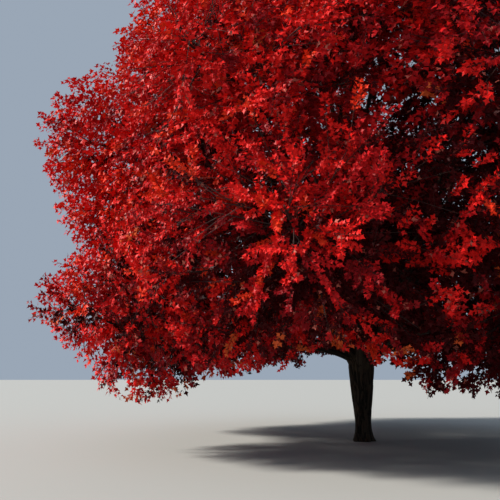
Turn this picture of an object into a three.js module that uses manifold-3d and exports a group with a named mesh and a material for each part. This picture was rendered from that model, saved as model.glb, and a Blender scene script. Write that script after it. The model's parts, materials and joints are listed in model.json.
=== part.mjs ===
// A mature red maple in full autumn colour, standing alone, in millimetres with +Z up.
// The origin is the middle of the flat cut under the trunk, at ground level.
// The trunk forks low into limbs, the limbs carry boughs, and each bough ends in one mass of foliage.
// A mass is a lobe of the crown: twigs branch out of one stem and reach to the lobe's own surface.

import * as THREE from "three";
import { mergeVertices } from "three/addons/utils/BufferGeometryUtils.js";
import Module from "manifold-3d";

const wasm = await Module();
wasm.setup();

const UP = new THREE.Vector3(0, 0, 1);
const EAST = new THREE.Vector3(1, 0, 0);
const NEARLY_UP = 0.95; // a twig steeper than this is turned from the east, not from above
const TWIG_FACES = [[0, 2, 1], [3, 4, 5], [0, 1, 4], [0, 4, 3], [1, 2, 5], [1, 5, 4], [2, 0, 3], [2, 3, 5]];
const SPRAY_FACES = [[0, 2, 1], [0, 1, 3], [0, 3, 2], [1, 2, 3]];
const GAP = 0.3; // clearance between two pieces that meet

// The trunk: height and radius of each ring, from the root flare to the crotch of the limbs
const TRUNK_OUTLINE = [
  [0, 286], [110, 241], [290, 212], [480, 207], [770, 234], [1120, 276],
  [1480, 316], [1880, 345], [2180, 332], [2380, 258], [2480, 150],
];
const TRUNK_SIDES = 20;
const TRUNK_LEAN = 16; // sideways drift to +X for each metre of height
const ROOTS = { count: 5, depth: 0.17, fade: 330, turn: 0.5 }; // buttresses of the root flare
const HEAD_RIBS = { depth: 0.05, from: 900, to: 1900 }; // ribs that run up into the limbs

// The crown's outline: height, and how far the foliage reaches from the trunk there
const CROWN_OUTLINE = [
  [1000, 6300], [3300, 8300], [6900, 8700], [10100, 7250], [12600, 5050], [14000, 3900], [15800, 2000],
];
const LOBE_SQUASH = 1.28; // a lobe is this many times as wide as it is high

// Tiers of lobes: how many, height of their middles, half width, and the bearing of the first
const TIERS = [
  { name: "skirt", count: 8, height: 3300, size: 2500, first: 24 },
  { name: "side", count: 1, height: 5400, size: 1650, first: 196 },
  { name: "waist", count: 7, height: 7050, size: 2800, first: 346 },
  { name: "shoulder", count: 6, height: 9950, size: 2750, first: 20 },
  { name: "crest", count: 4, height: 12600, size: 2300, first: 32 },
];
const TOP = { height: 14300, size: 1950, out: 300, bearing: 200 };
const INNER = { count: 2, height: 5300, size: 2100, out: 2300, first: 65 };
const UNEVEN = { bearing: 5, reach: 0.03, height: 0.06 }; // how far a lobe strays from its tier
// The skirt is lifted where open air shows under the crown
const OPENINGS = [
  { bearing: 258, spread: 28, lift: 780 },
  { bearing: 85, spread: 45, lift: 1050 },
];
// Lobes that reach further out or hang lower than their tier, which gives the crown its own outline
const OWN_OUTLINE = {
  skirt_5: { reach: 620, height: -280 },
  skirt_7: { reach: 100, height: -260 },
  side_1: { reach: -380, height: 420 },
  waist_5: { reach: 560, height: 480 },
  waist_6: { reach: -300, height: 250 },
  shoulder_4: { reach: -420, height: 60 },
};

// Limbs and boughs: radius at the foot and the tip, number of sides and steps along
const LIMB = { foot: 132, tip: 52, sides: 7, steps: 6 };
const LEADER = { foot: 140, tip: 46, sides: 7, steps: 8 };
const BOUGH = { foot: 84, tip: 44, sides: 5, steps: 5 };
const FOOT = { height: 1750, out: 60 }; // where the limbs' middle lines start, inside the trunk
const TAPER = 0.8; // a limb thins with this power of the share along it
const COLLAR = { swell: 0.5, fade: 2.2 }; // how much a limb swells at its foot, and over how many radii
const HANDLES = { foot: 0.36, tip: 0.34 }; // how much of a limb's span holds its direction at either end

// Paths of limbs and boughs: where on the parent they start, each next one a step further, how steeply
// they leave and arrive (rise over run), and where they stop, in shares of their lobe's size
const PATHS = {
  limb: { leave: 1.6, arrive: 1.8, short: 0.55 },
  leader: { leave: 12, arrive: 12, short: 0.9 },
  skirtFromTrunk: { height: 1880, leave: 0.75, arrive: 0, short: 0.55, below: 0.24, held: 0.26 },
  skirt: { at: 0.13, leave: 0.35, arrive: -0.05, short: 0.5, below: 0.16 },
  side: { at: 0.2, leave: 0.5, arrive: 0.15, short: 0.5 },
  waist: { at: 0.3, leave: 0.7, arrive: 0.25, short: 0.5 },
  crest: { at: 0.55, step: 0.06, leave: 1.3, arrive: 0.8, short: 0.5 },
  inner: { at: 0.09, step: 0.05, leave: 0.9, arrive: 0.2, short: 0.5 },
};

// A mass of foliage: one stem runs through its lobe and twigs leave the stem's three faces in turn
const STEM = { radius: 42, end: 0.5, beyond: 0.42, longest: 1.25 };
const STEM_SHARES = [1, 0.8, 0.62, 0.48, 0.36]; // a stem that meets another limb is made this much shorter
const TWIG = { count: 8, first: 0.14, last: 0.93, radius: 20, end: 0.75, share: 0.5, least: 500 };
const LEAN = { first: 82, last: 38, stray: 8 }; // degrees between a twig and the stem
const TIP_SHORT = 330; // how far a twig stops short of its lobe's surface

// A spray of leaves stands as one kite-shaped blade, with its root in the middle of a twig
const SPRAY = { length: 1220, width: 1040, thickness: 30, widest: 0.52, tipSunk: 6 };
const FORWARD = { least: 0, most: 0.75 }; // how much a spray leans along its twig
const TUMBLE = 0.6; // how far a spray turns away from facing outwards
const SPRAY_STATIONS = [0.97, 0.75, 0.53, 0.31]; // where along a twig its sprays sit
const SPRAY_SIZES = [1.2, 1.2, 1.02, 1.02, 0.86, 0.72]; // one that finds no room is turned, then made smaller
const MOST_SPRAYS = 23;
const APART = 1; // two sprays or twigs nearer than this count as touching
const LIMB_CLEARANCE = 12; // a twig or spray nearer a limb than this is left out
const CELL_MARGIN = 40; // and one nearer a neighbour's space than this
const SEEDS = { crown: 11, masses: 401 };

// A linear congruential generator: numbers from 0 to 1 that are the same on every run
function seeded(seed) {
  let state = (seed * 2654435761) >>> 0;
  return () => {
    state = (Math.imul(state, 1664525) + 1013904223) >>> 0;
    return state / 4294967296;
  };
}

const radians = THREE.MathUtils.degToRad;
const bearingVector = (degrees) =>
  new THREE.Vector3(Math.cos(radians(degrees)), Math.sin(radians(degrees)), 0);

// Reads the value at a height from an outline of [height, value] pairs
function readOutline(outline, height) {
  const next = Math.max(1, outline.findIndex((row) => row[0] > height));
  const [low, high] = [outline[next - 1], outline[next]];
  return THREE.MathUtils.mapLinear(height, low[0], high[0], low[1], high[1]);
}

const trunkAxis = (height) => new THREE.Vector3((TRUNK_LEAN * height) / 1000, 0, height);

// A closed mesh with shared vertices becomes a solid that can be joined and cut
function solidOf(geometry) {
  const bare = geometry.clone();
  bare.deleteAttribute("normal");
  bare.deleteAttribute("uv");
  const merged = mergeVertices(bare, 1e-3);
  return new wasm.Manifold(
    new wasm.Mesh({
      numProp: 3,
      vertProperties: merged.attributes.position.array,
      triVerts: new Uint32Array(merged.index.array),
    }),
  );
}

function largestBody(solid) {
  return solid.decompose().reduce((best, body) => (body.volume() > best.volume() ? body : best));
}

function geometryOf(solid) {
  const mesh = solid.getMesh();
  const places = new Float32Array(mesh.numVert * 3);
  for (let i = 0; i < mesh.numVert; i++)
    places.set(mesh.vertProperties.subarray(i * mesh.numProp, i * mesh.numProp + 3), i * 3);
  const geometry = new THREE.BufferGeometry();
  geometry.setAttribute("position", new THREE.BufferAttribute(places, 3));
  geometry.setIndex(new THREE.BufferAttribute(mesh.triVerts, 1));
  const flat = geometry.toNonIndexed();
  flat.computeVertexNormals();
  return flat;
}

// A cylinder bent onto a curve, with its radius read from a function of the share along it
function limbSolid(curve, radiusAt, sides, steps, grow = 0) {
  const tube = new THREE.CylinderGeometry(1, 1, 1, sides, steps);
  const frames = curve.computeFrenetFrames(steps, false);
  const places = tube.attributes.position;
  for (let i = 0; i < places.count; i++) {
    const ring = Math.round((places.getY(i) + 0.5) * steps);
    const radius = radiusAt(ring / steps) + grow;
    const point = curve
      .getPointAt(ring / steps)
      .addScaledVector(frames.binormals[ring], places.getX(i) * radius)
      .addScaledVector(frames.normals[ring], places.getZ(i) * radius);
    if (ring === 0) point.addScaledVector(frames.tangents[ring], -grow);
    if (ring === steps) point.addScaledVector(frames.tangents[ring], grow);
    places.setXYZ(i, point.x, point.y, point.z);
  }
  return solidOf(tube);
}

// The trunk: rings of the outline, swollen by the roots at the foot and ribbed towards the limbs
function trunkSolid(grow = 0) {
  const steps = TRUNK_OUTLINE.length - 1;
  const shape = new THREE.CylinderGeometry(1, 1, 1, TRUNK_SIDES, steps);
  const places = shape.attributes.position;
  for (let i = 0; i < places.count; i++) {
    const ring = Math.round((places.getY(i) + 0.5) * steps);
    const [height, radius] = TRUNK_OUTLINE[ring];
    const angle = Math.atan2(places.getX(i), places.getZ(i));
    const root = ROOTS.depth * Math.exp(-height / ROOTS.fade) * Math.cos(ROOTS.count * angle + ROOTS.turn);
    const rising = THREE.MathUtils.smoothstep(height, HEAD_RIBS.from, HEAD_RIBS.to);
    const fromLimb = mainLimbs.length * (angle - radians(mainLobes[0].bearing));
    const rib = HEAD_RIBS.depth * rising * Math.cos(fromLimb);
    const across = Math.hypot(places.getX(i), places.getZ(i)) * (radius * (1 + root + rib) + grow);
    const axis = trunkAxis(height + (ring === steps ? grow : 0));
    places.setXYZ(i, axis.x + across * Math.cos(angle), axis.y + across * Math.sin(angle), axis.z);
  }
  return solidOf(shape);
}

function liftAt(opening, bearing) {
  const turned = Math.abs(((bearing - opening.bearing + 540) % 360) - 180);
  return opening.lift * Math.exp(-((turned / opening.spread) ** 2));
}

// Lobes of the crown, tier by tier. Each is an ellipsoid with its own name, middle and half width
function makeLobes() {
  const lobes = [];
  const random = seeded(SEEDS.crown);
  const stray = (share) => (random() * 2 - 1) * share;
  for (const tier of TIERS)
    for (let k = 0; k < tier.count; k++) {
      const bearing = tier.first + (360 / tier.count) * k + stray(UNEVEN.bearing);
      const name = `${tier.name}_${k + 1}`;
      const own = OWN_OUTLINE[name] ?? { reach: 0, height: 0 };
      const height = tier.height + own.height + stray(UNEVEN.height) * tier.size;
      const lift = tier.name === "skirt" ? OPENINGS.reduce((sum, gap) => sum + liftAt(gap, bearing), 0) : 0;
      const reach = readOutline(CROWN_OUTLINE, height + lift) * (1 + stray(UNEVEN.reach)) + own.reach;
      const middle = bearingVector(bearing).multiplyScalar(reach - tier.size).setZ(height + lift);
      lobes.push({ name, tier: tier.name, bearing, middle, size: tier.size });
    }
  const top = bearingVector(TOP.bearing).multiplyScalar(TOP.out).setZ(TOP.height);
  lobes.push({ name: "top", tier: "top", bearing: TOP.bearing, middle: top, size: TOP.size });
  for (let k = 0; k < INNER.count; k++) {
    const bearing = INNER.first + (360 / INNER.count) * k;
    const middle = bearingVector(bearing).multiplyScalar(INNER.out).setZ(INNER.height);
    lobes.push({ name: `inner_${k + 1}`, tier: "inner", bearing, middle, size: INNER.size });
  }
  return lobes;
}

// Distances in a lobe are measured with heights stretched, which makes the ellipsoid a ball
const stretched = (v) => new THREE.Vector3(v.x, v.y, v.z * LOBE_SQUASH);

// A point belongs to the lobe that it lies deepest in, so lobes meet in flat walls
function depthIn(lobe, point) {
  return stretched(point.clone().sub(lobe.middle)).lengthSq() - lobe.size ** 2;
}

function inSpace(lobe, point) {
  const own = depthIn(lobe, point);
  if (own > 0) return false;
  return lobes.every((other) => {
    if (other === lobe) return true;
    const apart = stretched(other.middle.clone().sub(lobe.middle)).length();
    return depthIn(other, point) - own > 2 * apart * CELL_MARGIN;
  });
}

// How far the lobe's space goes from a point in it along a direction: to its ball or its nearest wall
function reachFrom(lobe, point, direction) {
  const way = stretched(direction);
  const from = stretched(point.clone().sub(lobe.middle));
  const middle = -from.dot(way) / way.lengthSq();
  const inside = (lobe.size ** 2 - from.lengthSq()) / way.lengthSq();
  let reach = middle + Math.sqrt(Math.max(middle ** 2 + inside, 0));
  for (const other of lobes) {
    const between = stretched(other.middle.clone().sub(lobe.middle));
    const towards = way.dot(between);
    if (other === lobe || towards <= 0) continue;
    const wall = (between.lengthSq() + lobe.size ** 2 - other.size ** 2) / 2 - between.length() * CELL_MARGIN;
    reach = Math.min(reach, (wall - from.dot(between)) / towards);
  }
  return reach;
}

// A limb or bough runs on one curve from its parent to its lobe, and stops inside the lobe
function growBough(name, size, lobe, start, path) {
  const out = lobe.middle.clone().sub(start).setZ(0).normalize();
  const leave = out.clone().addScaledVector(UP, path.leave).normalize();
  const arrive = out.clone().addScaledVector(UP, path.arrive).normalize();
  const tip = lobe.middle.clone().addScaledVector(arrive, -lobe.size * path.short);
  tip.addScaledVector(UP, -lobe.size * (path.below ?? 0));
  const span = start.distanceTo(tip);
  const curve = new THREE.CubicBezierCurve3(
    start,
    start.clone().addScaledVector(leave, span * (path.held ?? HANDLES.foot)),
    tip.clone().addScaledVector(arrive, -span * HANDLES.tip),
    tip,
  );
  const length = curve.getLength();
  const radiusAt = (share) => {
    const taper = size.foot + (size.tip - size.foot) * share ** TAPER;
    return taper * (1 + COLLAR.swell * Math.exp((-share * length) / (COLLAR.fade * size.foot)));
  };
  const bough = { name, size, lobe, curve, radiusAt, arrive, out };
  boughs.push(bough);
  return bough;
}

// The boughs of one tier each leave the parent whose bearing is nearest to their lobe's
function growTier(name, tier, parents) {
  const path = PATHS[tier];
  tierLobes(tier).forEach((lobe, k) => {
    const nearness = (limb) => bearingVector(limb.lobe.bearing).dot(bearingVector(lobe.bearing));
    const parent = parents.reduce((best, limb) => (nearness(limb) > nearness(best) ? limb : best));
    const fromTrunk = tier === "skirt" && k % 2 === 0;
    const start = fromTrunk
      ? trunkAxis(PATHS.skirtFromTrunk.height)
      : parent.curve.getPointAt(path.at + (path.step ?? 0) * k);
    growBough(`${name}_${k + 1}`, BOUGH, lobe, start, fromTrunk ? PATHS.skirtFromTrunk : path);
  });
}

const lobes = makeLobes();
const boughs = [];
const tierLobes = (name) => lobes.filter((lobe) => lobe.tier === name);
const mainLobes = tierLobes("shoulder");

// Main limbs rise out of the trunk's head to the shoulder of the crown, and the leader to its top
const mainLimbs = mainLobes.map((lobe, k) => {
  const start = trunkAxis(FOOT.height).addScaledVector(bearingVector(lobe.bearing), FOOT.out);
  return growBough(`limb_${k + 1}`, LIMB, lobe, start, PATHS.limb);
});
const leader = growBough("leader", LEADER, tierLobes("top")[0], trunkAxis(FOOT.height), PATHS.leader);

// The low boughs leave the trunk and the feet of the limbs in turn, rise, and then run level
growTier("low_bough", "skirt", mainLimbs);
growTier("side_bough", "side", mainLimbs);
growTier("bough", "waist", mainLimbs);
growTier("high_bough", "crest", [leader]);
growTier("inner_bough", "inner", [leader]);

function closedSolid(corners, faces) {
  const solid = new wasm.Manifold(
    new wasm.Mesh({
      numProp: 3,
      vertProperties: new Float32Array(corners.flatMap((c) => [c.x, c.y, c.z])),
      triVerts: new Uint32Array(faces.flat()),
    }),
  );
  if (solid.volume() > 0) return solid;
  throw new Error("a twig or spray is inside out");
}

// Directions square to a twig, turned round it by an angle
function aroundTwig(along, angle) {
  const side = along.clone().cross(Math.abs(along.z) > NEARLY_UP ? EAST : UP).normalize();
  const lift = along.clone().cross(side).normalize();
  return side.multiplyScalar(Math.cos(angle)).addScaledVector(lift, Math.sin(angle));
}

// A twig is a three-sided taper. Each of its three faces looks along one of its normals,
// and its foot is cut square to a direction of its own where it meets a bough's end
function makeTwig(foot, tip, radius, end, roll, square = tip.clone().sub(foot).normalize()) {
  const along = tip.clone().sub(foot).normalize();
  const third = (2 * Math.PI) / 3;
  const corners = [0, 1, 2].map((k) => aroundTwig(along, roll + k * third));
  const normals = [0, 1, 2].map((k) => aroundTwig(along, roll + (k + 0.5) * third));
  const ring = (at, size) => corners.map((corner) => at.clone().addScaledVector(corner, size));
  const slide = (corner) => -corner.clone().sub(foot).dot(square) / along.dot(square);
  const footRing = ring(foot, radius).map((corner) => corner.addScaledVector(along, slide(corner)));
  const solid = closedSolid([...footRing, ...ring(tip, radius * end)], TWIG_FACES);
  const radiusAt = (share) => radius * (1 - share * (1 - end));
  return { foot, tip, along, normals, solid, box: solid.boundingBox(), radiusAt };
}

// A spray leaves its root along one direction and turns its flat side towards another.
// Its midrib lies above its width by its thickness, so four faces close it into a kite
function makeSpray(root, along, facing, size) {
  const side = along.clone().cross(facing).normalize();
  const flat = side.clone().cross(along).normalize();
  const across = root.clone().addScaledVector(along, SPRAY.length * size * SPRAY.widest);
  across.addScaledVector(flat, -SPRAY.thickness);
  const corners = [
    root,
    root.clone().addScaledVector(along, SPRAY.length * size),
    across.clone().addScaledVector(side, (SPRAY.width * size) / 2),
    across.clone().addScaledVector(side, (-SPRAY.width * size) / 2),
  ];
  const solid = closedSolid(corners, SPRAY_FACES);
  return { corners, solid, box: solid.boundingBox() };
}

function boxesMeet(one, two, margin) {
  return [0, 1, 2].every((k) => one.min[k] < two.max[k] + margin && two.min[k] < one.max[k] + margin);
}

function touches(piece, others, margin) {
  return others.some(
    (other) => boxesMeet(piece.box, other.box, margin) && other.solid.minGap(piece.solid, margin) < margin,
  );
}

// The branching rule: twigs leave the stem's faces in turn, leaning further along it towards its end
function growTwigs(lobe, stem, random) {
  const twigs = [];
  for (let k = 0; k < TWIG.count; k++) {
    const share = k / (TWIG.count - 1);
    const at = TWIG.first + (TWIG.last - TWIG.first) * share;
    const foot = stem.foot.clone().lerp(stem.tip, at);
    const lean = radians(LEAN.first + (LEAN.last - LEAN.first) * share + (random() * 2 - 1) * LEAN.stray);
    const away = stem.normals[k % 3].clone().multiplyScalar(Math.sin(lean));
    const way = away.addScaledVector(stem.along, Math.cos(lean));
    const reach = reachFrom(lobe, foot, way) - TIP_SHORT;
    const radius = Math.min(TWIG.radius, stem.radiusAt(at) * TWIG.share);
    const roll = random() * Math.PI;
    if (reach < TWIG.least) continue;
    const twig = makeTwig(foot, foot.clone().addScaledVector(way, reach), radius, TWIG.end, roll);
    if (!touches(twig, limbSolids, LIMB_CLEARANCE) && !touches(twig, twigs, APART)) twigs.push(twig);
  }
  return twigs;
}

// The stem starts square to its bough's end and heads for the far side of the lobe
function growStem(lobe, bough, random) {
  const foot = bough.curve.getPoint(1).addScaledVector(bough.arrive, GAP);
  const goal = lobe.middle.clone().addScaledVector(bough.out, lobe.size * STEM.beyond);
  const way = goal.sub(foot).normalize();
  const reach = Math.min(reachFrom(lobe, foot, way) - TIP_SHORT, lobe.size * STEM.longest);
  const roll = random() * Math.PI;
  const others = limbSolids.filter((limb) => limb.name !== bough.name);
  return STEM_SHARES.map((share) => foot.clone().addScaledVector(way, reach * share))
    .map((tip) => makeTwig(foot, tip, STEM.radius, STEM.end, roll, bough.arrive))
    .find((stem) => !touches(stem, others, LIMB_CLEARANCE));
}

// A spray is tried at a root, turned a little at random and made smaller until it finds room
function findSpray(lobe, root, way, obstacles, random) {
  const stray = () => (random() * 2 - 1) * TUMBLE;
  for (const size of SPRAY_SIZES) {
    const outward = root.clone().addScaledVector(way, (SPRAY.length * size) / 2).sub(lobe.middle);
    const tumble = new THREE.Vector3(stray(), stray(), stray());
    const facing = stretched(stretched(outward)).normalize().add(tumble);
    const spray = makeSpray(root, way, facing, size);
    if (!spray.corners.every((corner) => inSpace(lobe, corner))) continue;
    if (!touches(spray, limbSolids, LIMB_CLEARANCE) && !touches(spray, obstacles, APART)) return spray;
  }
  return null;
}

// One mass: its stem, its twigs, and the sprays on their tips and then on the faces of the twigs
function massSolid(lobe, bough, random) {
  const stem = growStem(lobe, bough, random);
  const twigs = growTwigs(lobe, stem, random);
  const carriers = [stem, ...twigs];
  const sprays = [];
  const addSpray = (carrier, root, way) => {
    if (sprays.length >= MOST_SPRAYS) return;
    const obstacles = [...sprays, ...carriers.filter((other) => other !== carrier)];
    const spray = findSpray(lobe, root, way, obstacles, random);
    if (spray) sprays.push(spray);
  };
  for (const carrier of carriers)
    addSpray(carrier, carrier.tip.clone().addScaledVector(carrier.along, -SPRAY.tipSunk), carrier.along);
  for (const at of SPRAY_STATIONS)
    for (const twig of twigs)
      for (const normal of twig.normals) {
        const forward = FORWARD.least + (FORWARD.most - FORWARD.least) * random();
        const way = normal.clone().addScaledVector(twig.along, forward).normalize();
        addSpray(twig, twig.foot.clone().lerp(twig.tip, at), way);
      }
  const joined = [...twigs, ...sprays].reduce((sum, { solid }) => sum.add(solid), stem.solid);
  return largestBody(joined);
}

// Wood first: each limb is cut clear of the trunk and of every limb before it
const wood = [{ name: "trunk", solid: trunkSolid(), grown: trunkSolid(GAP) }];
for (const { name, size, curve, radiusAt } of boughs) {
  const whole = limbSolid(curve, radiusAt, size.sides, size.steps);
  const solid = largestBody(wood.reduce((rest, other) => rest.subtract(other.grown), whole));
  wood.push({ name, solid, grown: limbSolid(curve, radiusAt, size.sides, size.steps, GAP) });
}
const limbSolids = wood.map(({ name, solid }) => ({ name, solid, box: solid.boundingBox() }));

const BARK = new THREE.MeshStandardMaterial({ color: 0x4a4038, roughness: 0.9, metalness: 0 });
const SCARLET = new THREE.MeshStandardMaterial({ color: 0xb3120c, roughness: 0.55, metalness: 0 });

const maple = new THREE.Group();
function addPiece(name, solid, material) {
  const mesh = new THREE.Mesh(geometryOf(solid), material.clone());
  mesh.name = name;
  maple.add(mesh);
}
for (const { name, solid } of wood) addPiece(name, solid, BARK);
boughs.forEach((bough, k) => {
  const mass = massSolid(bough.lobe, bough, seeded(SEEDS.masses + k));
  addPiece(`foliage_${bough.lobe.name}`, mass, SCARLET);
});

export default maple;
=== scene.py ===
# %% [markdown]
# # A red maple in full autumn colour
#
# This lesson dresses the plain solids of a large maple: a trunk with furrowed bark, limbs that fork
# low and carry boughs, and a crown of small red leaves in sprays. The solids give every limb's path
# and the space that each mass of foliage may fill. Here the same rule of growth is written again and
# carried on to finer twigs, so that the leaves hang where the solids say and nowhere else.
#
# Lengths are metres, +Z is up, and the origin is the middle of the trunk's cut at ground level.

import json
import math
from types import SimpleNamespace

import bpy
import numpy as np
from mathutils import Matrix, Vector

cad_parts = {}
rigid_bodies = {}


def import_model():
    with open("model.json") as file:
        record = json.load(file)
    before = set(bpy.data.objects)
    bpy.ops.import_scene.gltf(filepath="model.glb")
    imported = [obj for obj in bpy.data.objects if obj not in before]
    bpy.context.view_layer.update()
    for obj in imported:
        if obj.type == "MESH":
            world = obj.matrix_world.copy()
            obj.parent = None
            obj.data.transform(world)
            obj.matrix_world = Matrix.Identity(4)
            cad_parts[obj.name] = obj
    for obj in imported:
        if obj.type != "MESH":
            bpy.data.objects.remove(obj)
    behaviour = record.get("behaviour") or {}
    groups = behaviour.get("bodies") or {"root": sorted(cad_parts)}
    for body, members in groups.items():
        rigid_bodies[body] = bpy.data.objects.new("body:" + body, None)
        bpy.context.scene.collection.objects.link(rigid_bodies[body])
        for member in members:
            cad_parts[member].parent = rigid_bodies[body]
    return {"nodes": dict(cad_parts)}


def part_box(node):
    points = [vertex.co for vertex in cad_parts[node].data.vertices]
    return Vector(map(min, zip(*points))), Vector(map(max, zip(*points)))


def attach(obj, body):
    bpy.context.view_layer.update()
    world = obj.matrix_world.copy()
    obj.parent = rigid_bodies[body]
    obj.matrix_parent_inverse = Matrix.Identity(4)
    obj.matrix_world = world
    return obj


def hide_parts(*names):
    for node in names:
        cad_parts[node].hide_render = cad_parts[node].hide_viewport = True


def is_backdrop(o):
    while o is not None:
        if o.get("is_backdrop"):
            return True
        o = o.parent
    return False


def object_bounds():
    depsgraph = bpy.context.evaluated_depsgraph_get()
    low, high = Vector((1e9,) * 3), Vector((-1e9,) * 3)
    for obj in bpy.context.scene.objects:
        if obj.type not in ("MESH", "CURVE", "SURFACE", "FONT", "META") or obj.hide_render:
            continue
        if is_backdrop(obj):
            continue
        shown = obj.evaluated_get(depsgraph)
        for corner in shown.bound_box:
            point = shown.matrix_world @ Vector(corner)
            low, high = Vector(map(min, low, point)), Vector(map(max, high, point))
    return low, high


for thing in list(bpy.data.objects):
    bpy.data.objects.remove(thing)
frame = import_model()
cad_low, cad_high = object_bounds()
print("solids:", len(frame["nodes"]), "box", [round(v, 2) for v in cad_high - cad_low])

# %% [markdown]
# ## The crown's plan
#
# A large crown isn't one ball. It is a stack of lobes, each the foliage of one bough, and the gaps
# between them make its outline. The lobes could be sculpted by hand, but a plan in tiers is easier to
# change: a tier has a count, a height and a half width, and an outline says how far it reaches. A few
# lobes get their own reach, and the lowest tier is lifted where air shows under the crown.

# %% Sizes of the crown
UP = np.array((0.0, 0.0, 1.0))
EAST = np.array((1.0, 0.0, 0.0))
GAP = 0.0003  # the solids leave this much between a bough's end and the stem that goes on from it
CROWN_OUTLINE = [
    (1.0, 6.3), (3.3, 8.3), (6.9, 8.7), (10.1, 7.25), (12.6, 5.05), (14.0, 3.9), (15.8, 2.0),
]
LOBE_SQUASH = 1.28  # a lobe is this many times as wide as it is high
TIERS = [
    SimpleNamespace(name="skirt", count=8, height=3.3, size=2.5, first=24),
    SimpleNamespace(name="side", count=1, height=5.4, size=1.65, first=196),
    SimpleNamespace(name="waist", count=7, height=7.05, size=2.8, first=346),
    SimpleNamespace(name="shoulder", count=6, height=9.95, size=2.75, first=20),
    SimpleNamespace(name="crest", count=4, height=12.6, size=2.3, first=32),
]
TOP = SimpleNamespace(height=14.3, size=1.95, out=0.3, bearing=200)
INNER = SimpleNamespace(count=2, height=5.3, size=2.1, out=2.3, first=65)
UNEVEN = SimpleNamespace(bearing=5, reach=0.03, height=0.06)
OPENINGS = [
    SimpleNamespace(bearing=258, spread=28, lift=0.78),
    SimpleNamespace(bearing=85, spread=45, lift=1.05),
]
OWN_OUTLINE = {  # further out and higher, for lobes that leave their tier's line
    "skirt_5": (0.62, -0.28),
    "skirt_7": (0.1, -0.26),
    "side_1": (-0.38, 0.42),
    "waist_5": (0.56, 0.48),
    "waist_6": (-0.3, 0.25),
    "shoulder_4": (-0.42, 0.06),
}
CELL_MARGIN = 0.04  # foliage keeps this far from a neighbouring lobe's space
SEEDS = SimpleNamespace(crown=11, masses=401, fine=7000, tints=8000, swell=48675)
print("lobes in tiers:", sum(tier.count for tier in TIERS), "in the middle:", INNER.count)

# %% Random numbers that are the same on every run
WORD = 2**32
GENERATOR = SimpleNamespace(spread=2654435761, factor=1664525, shift=1013904223)


def seeded(seed):
    """A linear congruential generator, the same as the solids' own, with draws from 0 to 1."""
    state = (seed * GENERATOR.spread) % WORD

    def draw():
        nonlocal state
        state = (state * GENERATOR.factor + GENERATOR.shift) % WORD
        return state / WORD

    return draw


def bearing_vector(degrees):
    return np.array((math.cos(math.radians(degrees)), math.sin(math.radians(degrees)), 0.0))


def unit(vector):
    return vector / np.linalg.norm(vector, axis=-1, keepdims=True)


def along_line(values, line):
    """Reads a line, given as (place, height) points, at one or many places."""
    return np.interp(values, *zip(*line))


# %% Lobes, tier by tier
def lift_at(opening, bearing):
    turned = abs((bearing - opening.bearing + 540) % 360 - 180)
    return opening.lift * math.exp(-((turned / opening.spread) ** 2))


def make_lobes():
    draw = seeded(SEEDS.crown)
    made = []

    def stray(share):
        return (draw() * 2 - 1) * share

    for tier in TIERS:
        for k in range(tier.count):
            name = f"{tier.name}_{k + 1}"
            bearing = tier.first + 360 / tier.count * k + stray(UNEVEN.bearing)
            own_reach, own_height = OWN_OUTLINE.get(name, (0.0, 0.0))
            height = tier.height + own_height + stray(UNEVEN.height) * tier.size
            if tier.name == "skirt":
                height += sum(lift_at(opening, bearing) for opening in OPENINGS)
            reach = along_line(height, CROWN_OUTLINE) * (1 + stray(UNEVEN.reach)) + own_reach
            middle = bearing_vector(bearing) * (reach - tier.size) + UP * height
            made.append(SimpleNamespace(name=name, tier=tier.name, bearing=bearing, middle=middle,
                                        size=tier.size))
    middle = bearing_vector(TOP.bearing) * TOP.out + UP * TOP.height
    made.append(SimpleNamespace(name="top", tier="top", bearing=TOP.bearing, middle=middle, size=TOP.size))
    for k in range(INNER.count):
        bearing = INNER.first + 360 / INNER.count * k
        middle = bearing_vector(bearing) * INNER.out + UP * INNER.height
        made.append(SimpleNamespace(name=f"inner_{k + 1}", tier="inner", bearing=bearing, middle=middle,
                                    size=INNER.size))
    return made


lobes = make_lobes()
print("lobes:", len(lobes), "highest at", round(max(lobe.middle[2] for lobe in lobes), 2))


# %% [markdown]
# ## Whose space a point is in
#
# Neighbouring lobes overlap, so each point is given to the lobe that it lies deepest in. The walls
# between lobes are then flat, and a straight line's way to the nearest wall is a short sum. Heights
# are stretched first, which turns the flattened lobes into balls.

# %% Depth in a lobe and reach to its walls
STRETCH = np.array((1.0, 1.0, LOBE_SQUASH))
MIDDLES = np.array([lobe.middle for lobe in lobes])
LOBE_SIZES = np.array([lobe.size for lobe in lobes])
TINY = 1e-9
print("half widths of the lobes:", LOBE_SIZES.min(), "to", LOBE_SIZES.max(), "m")


def reach_from(k, point, direction):
    """How far lobe k's space goes from a point in it along a direction."""
    way = direction * STRETCH
    start = (point - MIDDLES[k]) * STRETCH
    square = way @ way
    middle = -(start @ way) / square
    inside = (LOBE_SIZES[k] ** 2 - start @ start) / square
    reach = middle + math.sqrt(max(middle**2 + inside, 0))
    between = (MIDDLES - MIDDLES[k]) * STRETCH
    towards = between @ way
    lengths = np.linalg.norm(between, axis=1)
    walls = (lengths**2 + LOBE_SIZES[k] ** 2 - LOBE_SIZES**2) / 2 - lengths * CELL_MARGIN - between @ start
    ahead = towards > TINY
    return min(reach, (walls[ahead] / towards[ahead]).min(initial=reach))


# %% [markdown]
# ## Limbs and boughs
#
# On the real tree the trunk splits low into a handful of limbs, and each limb carries boughs that run
# out under the foliage. Each one follows a single smooth curve that leaves its parent steeply and
# levels out. The curves are the solids' own, worked out from the same sizes.

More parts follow.
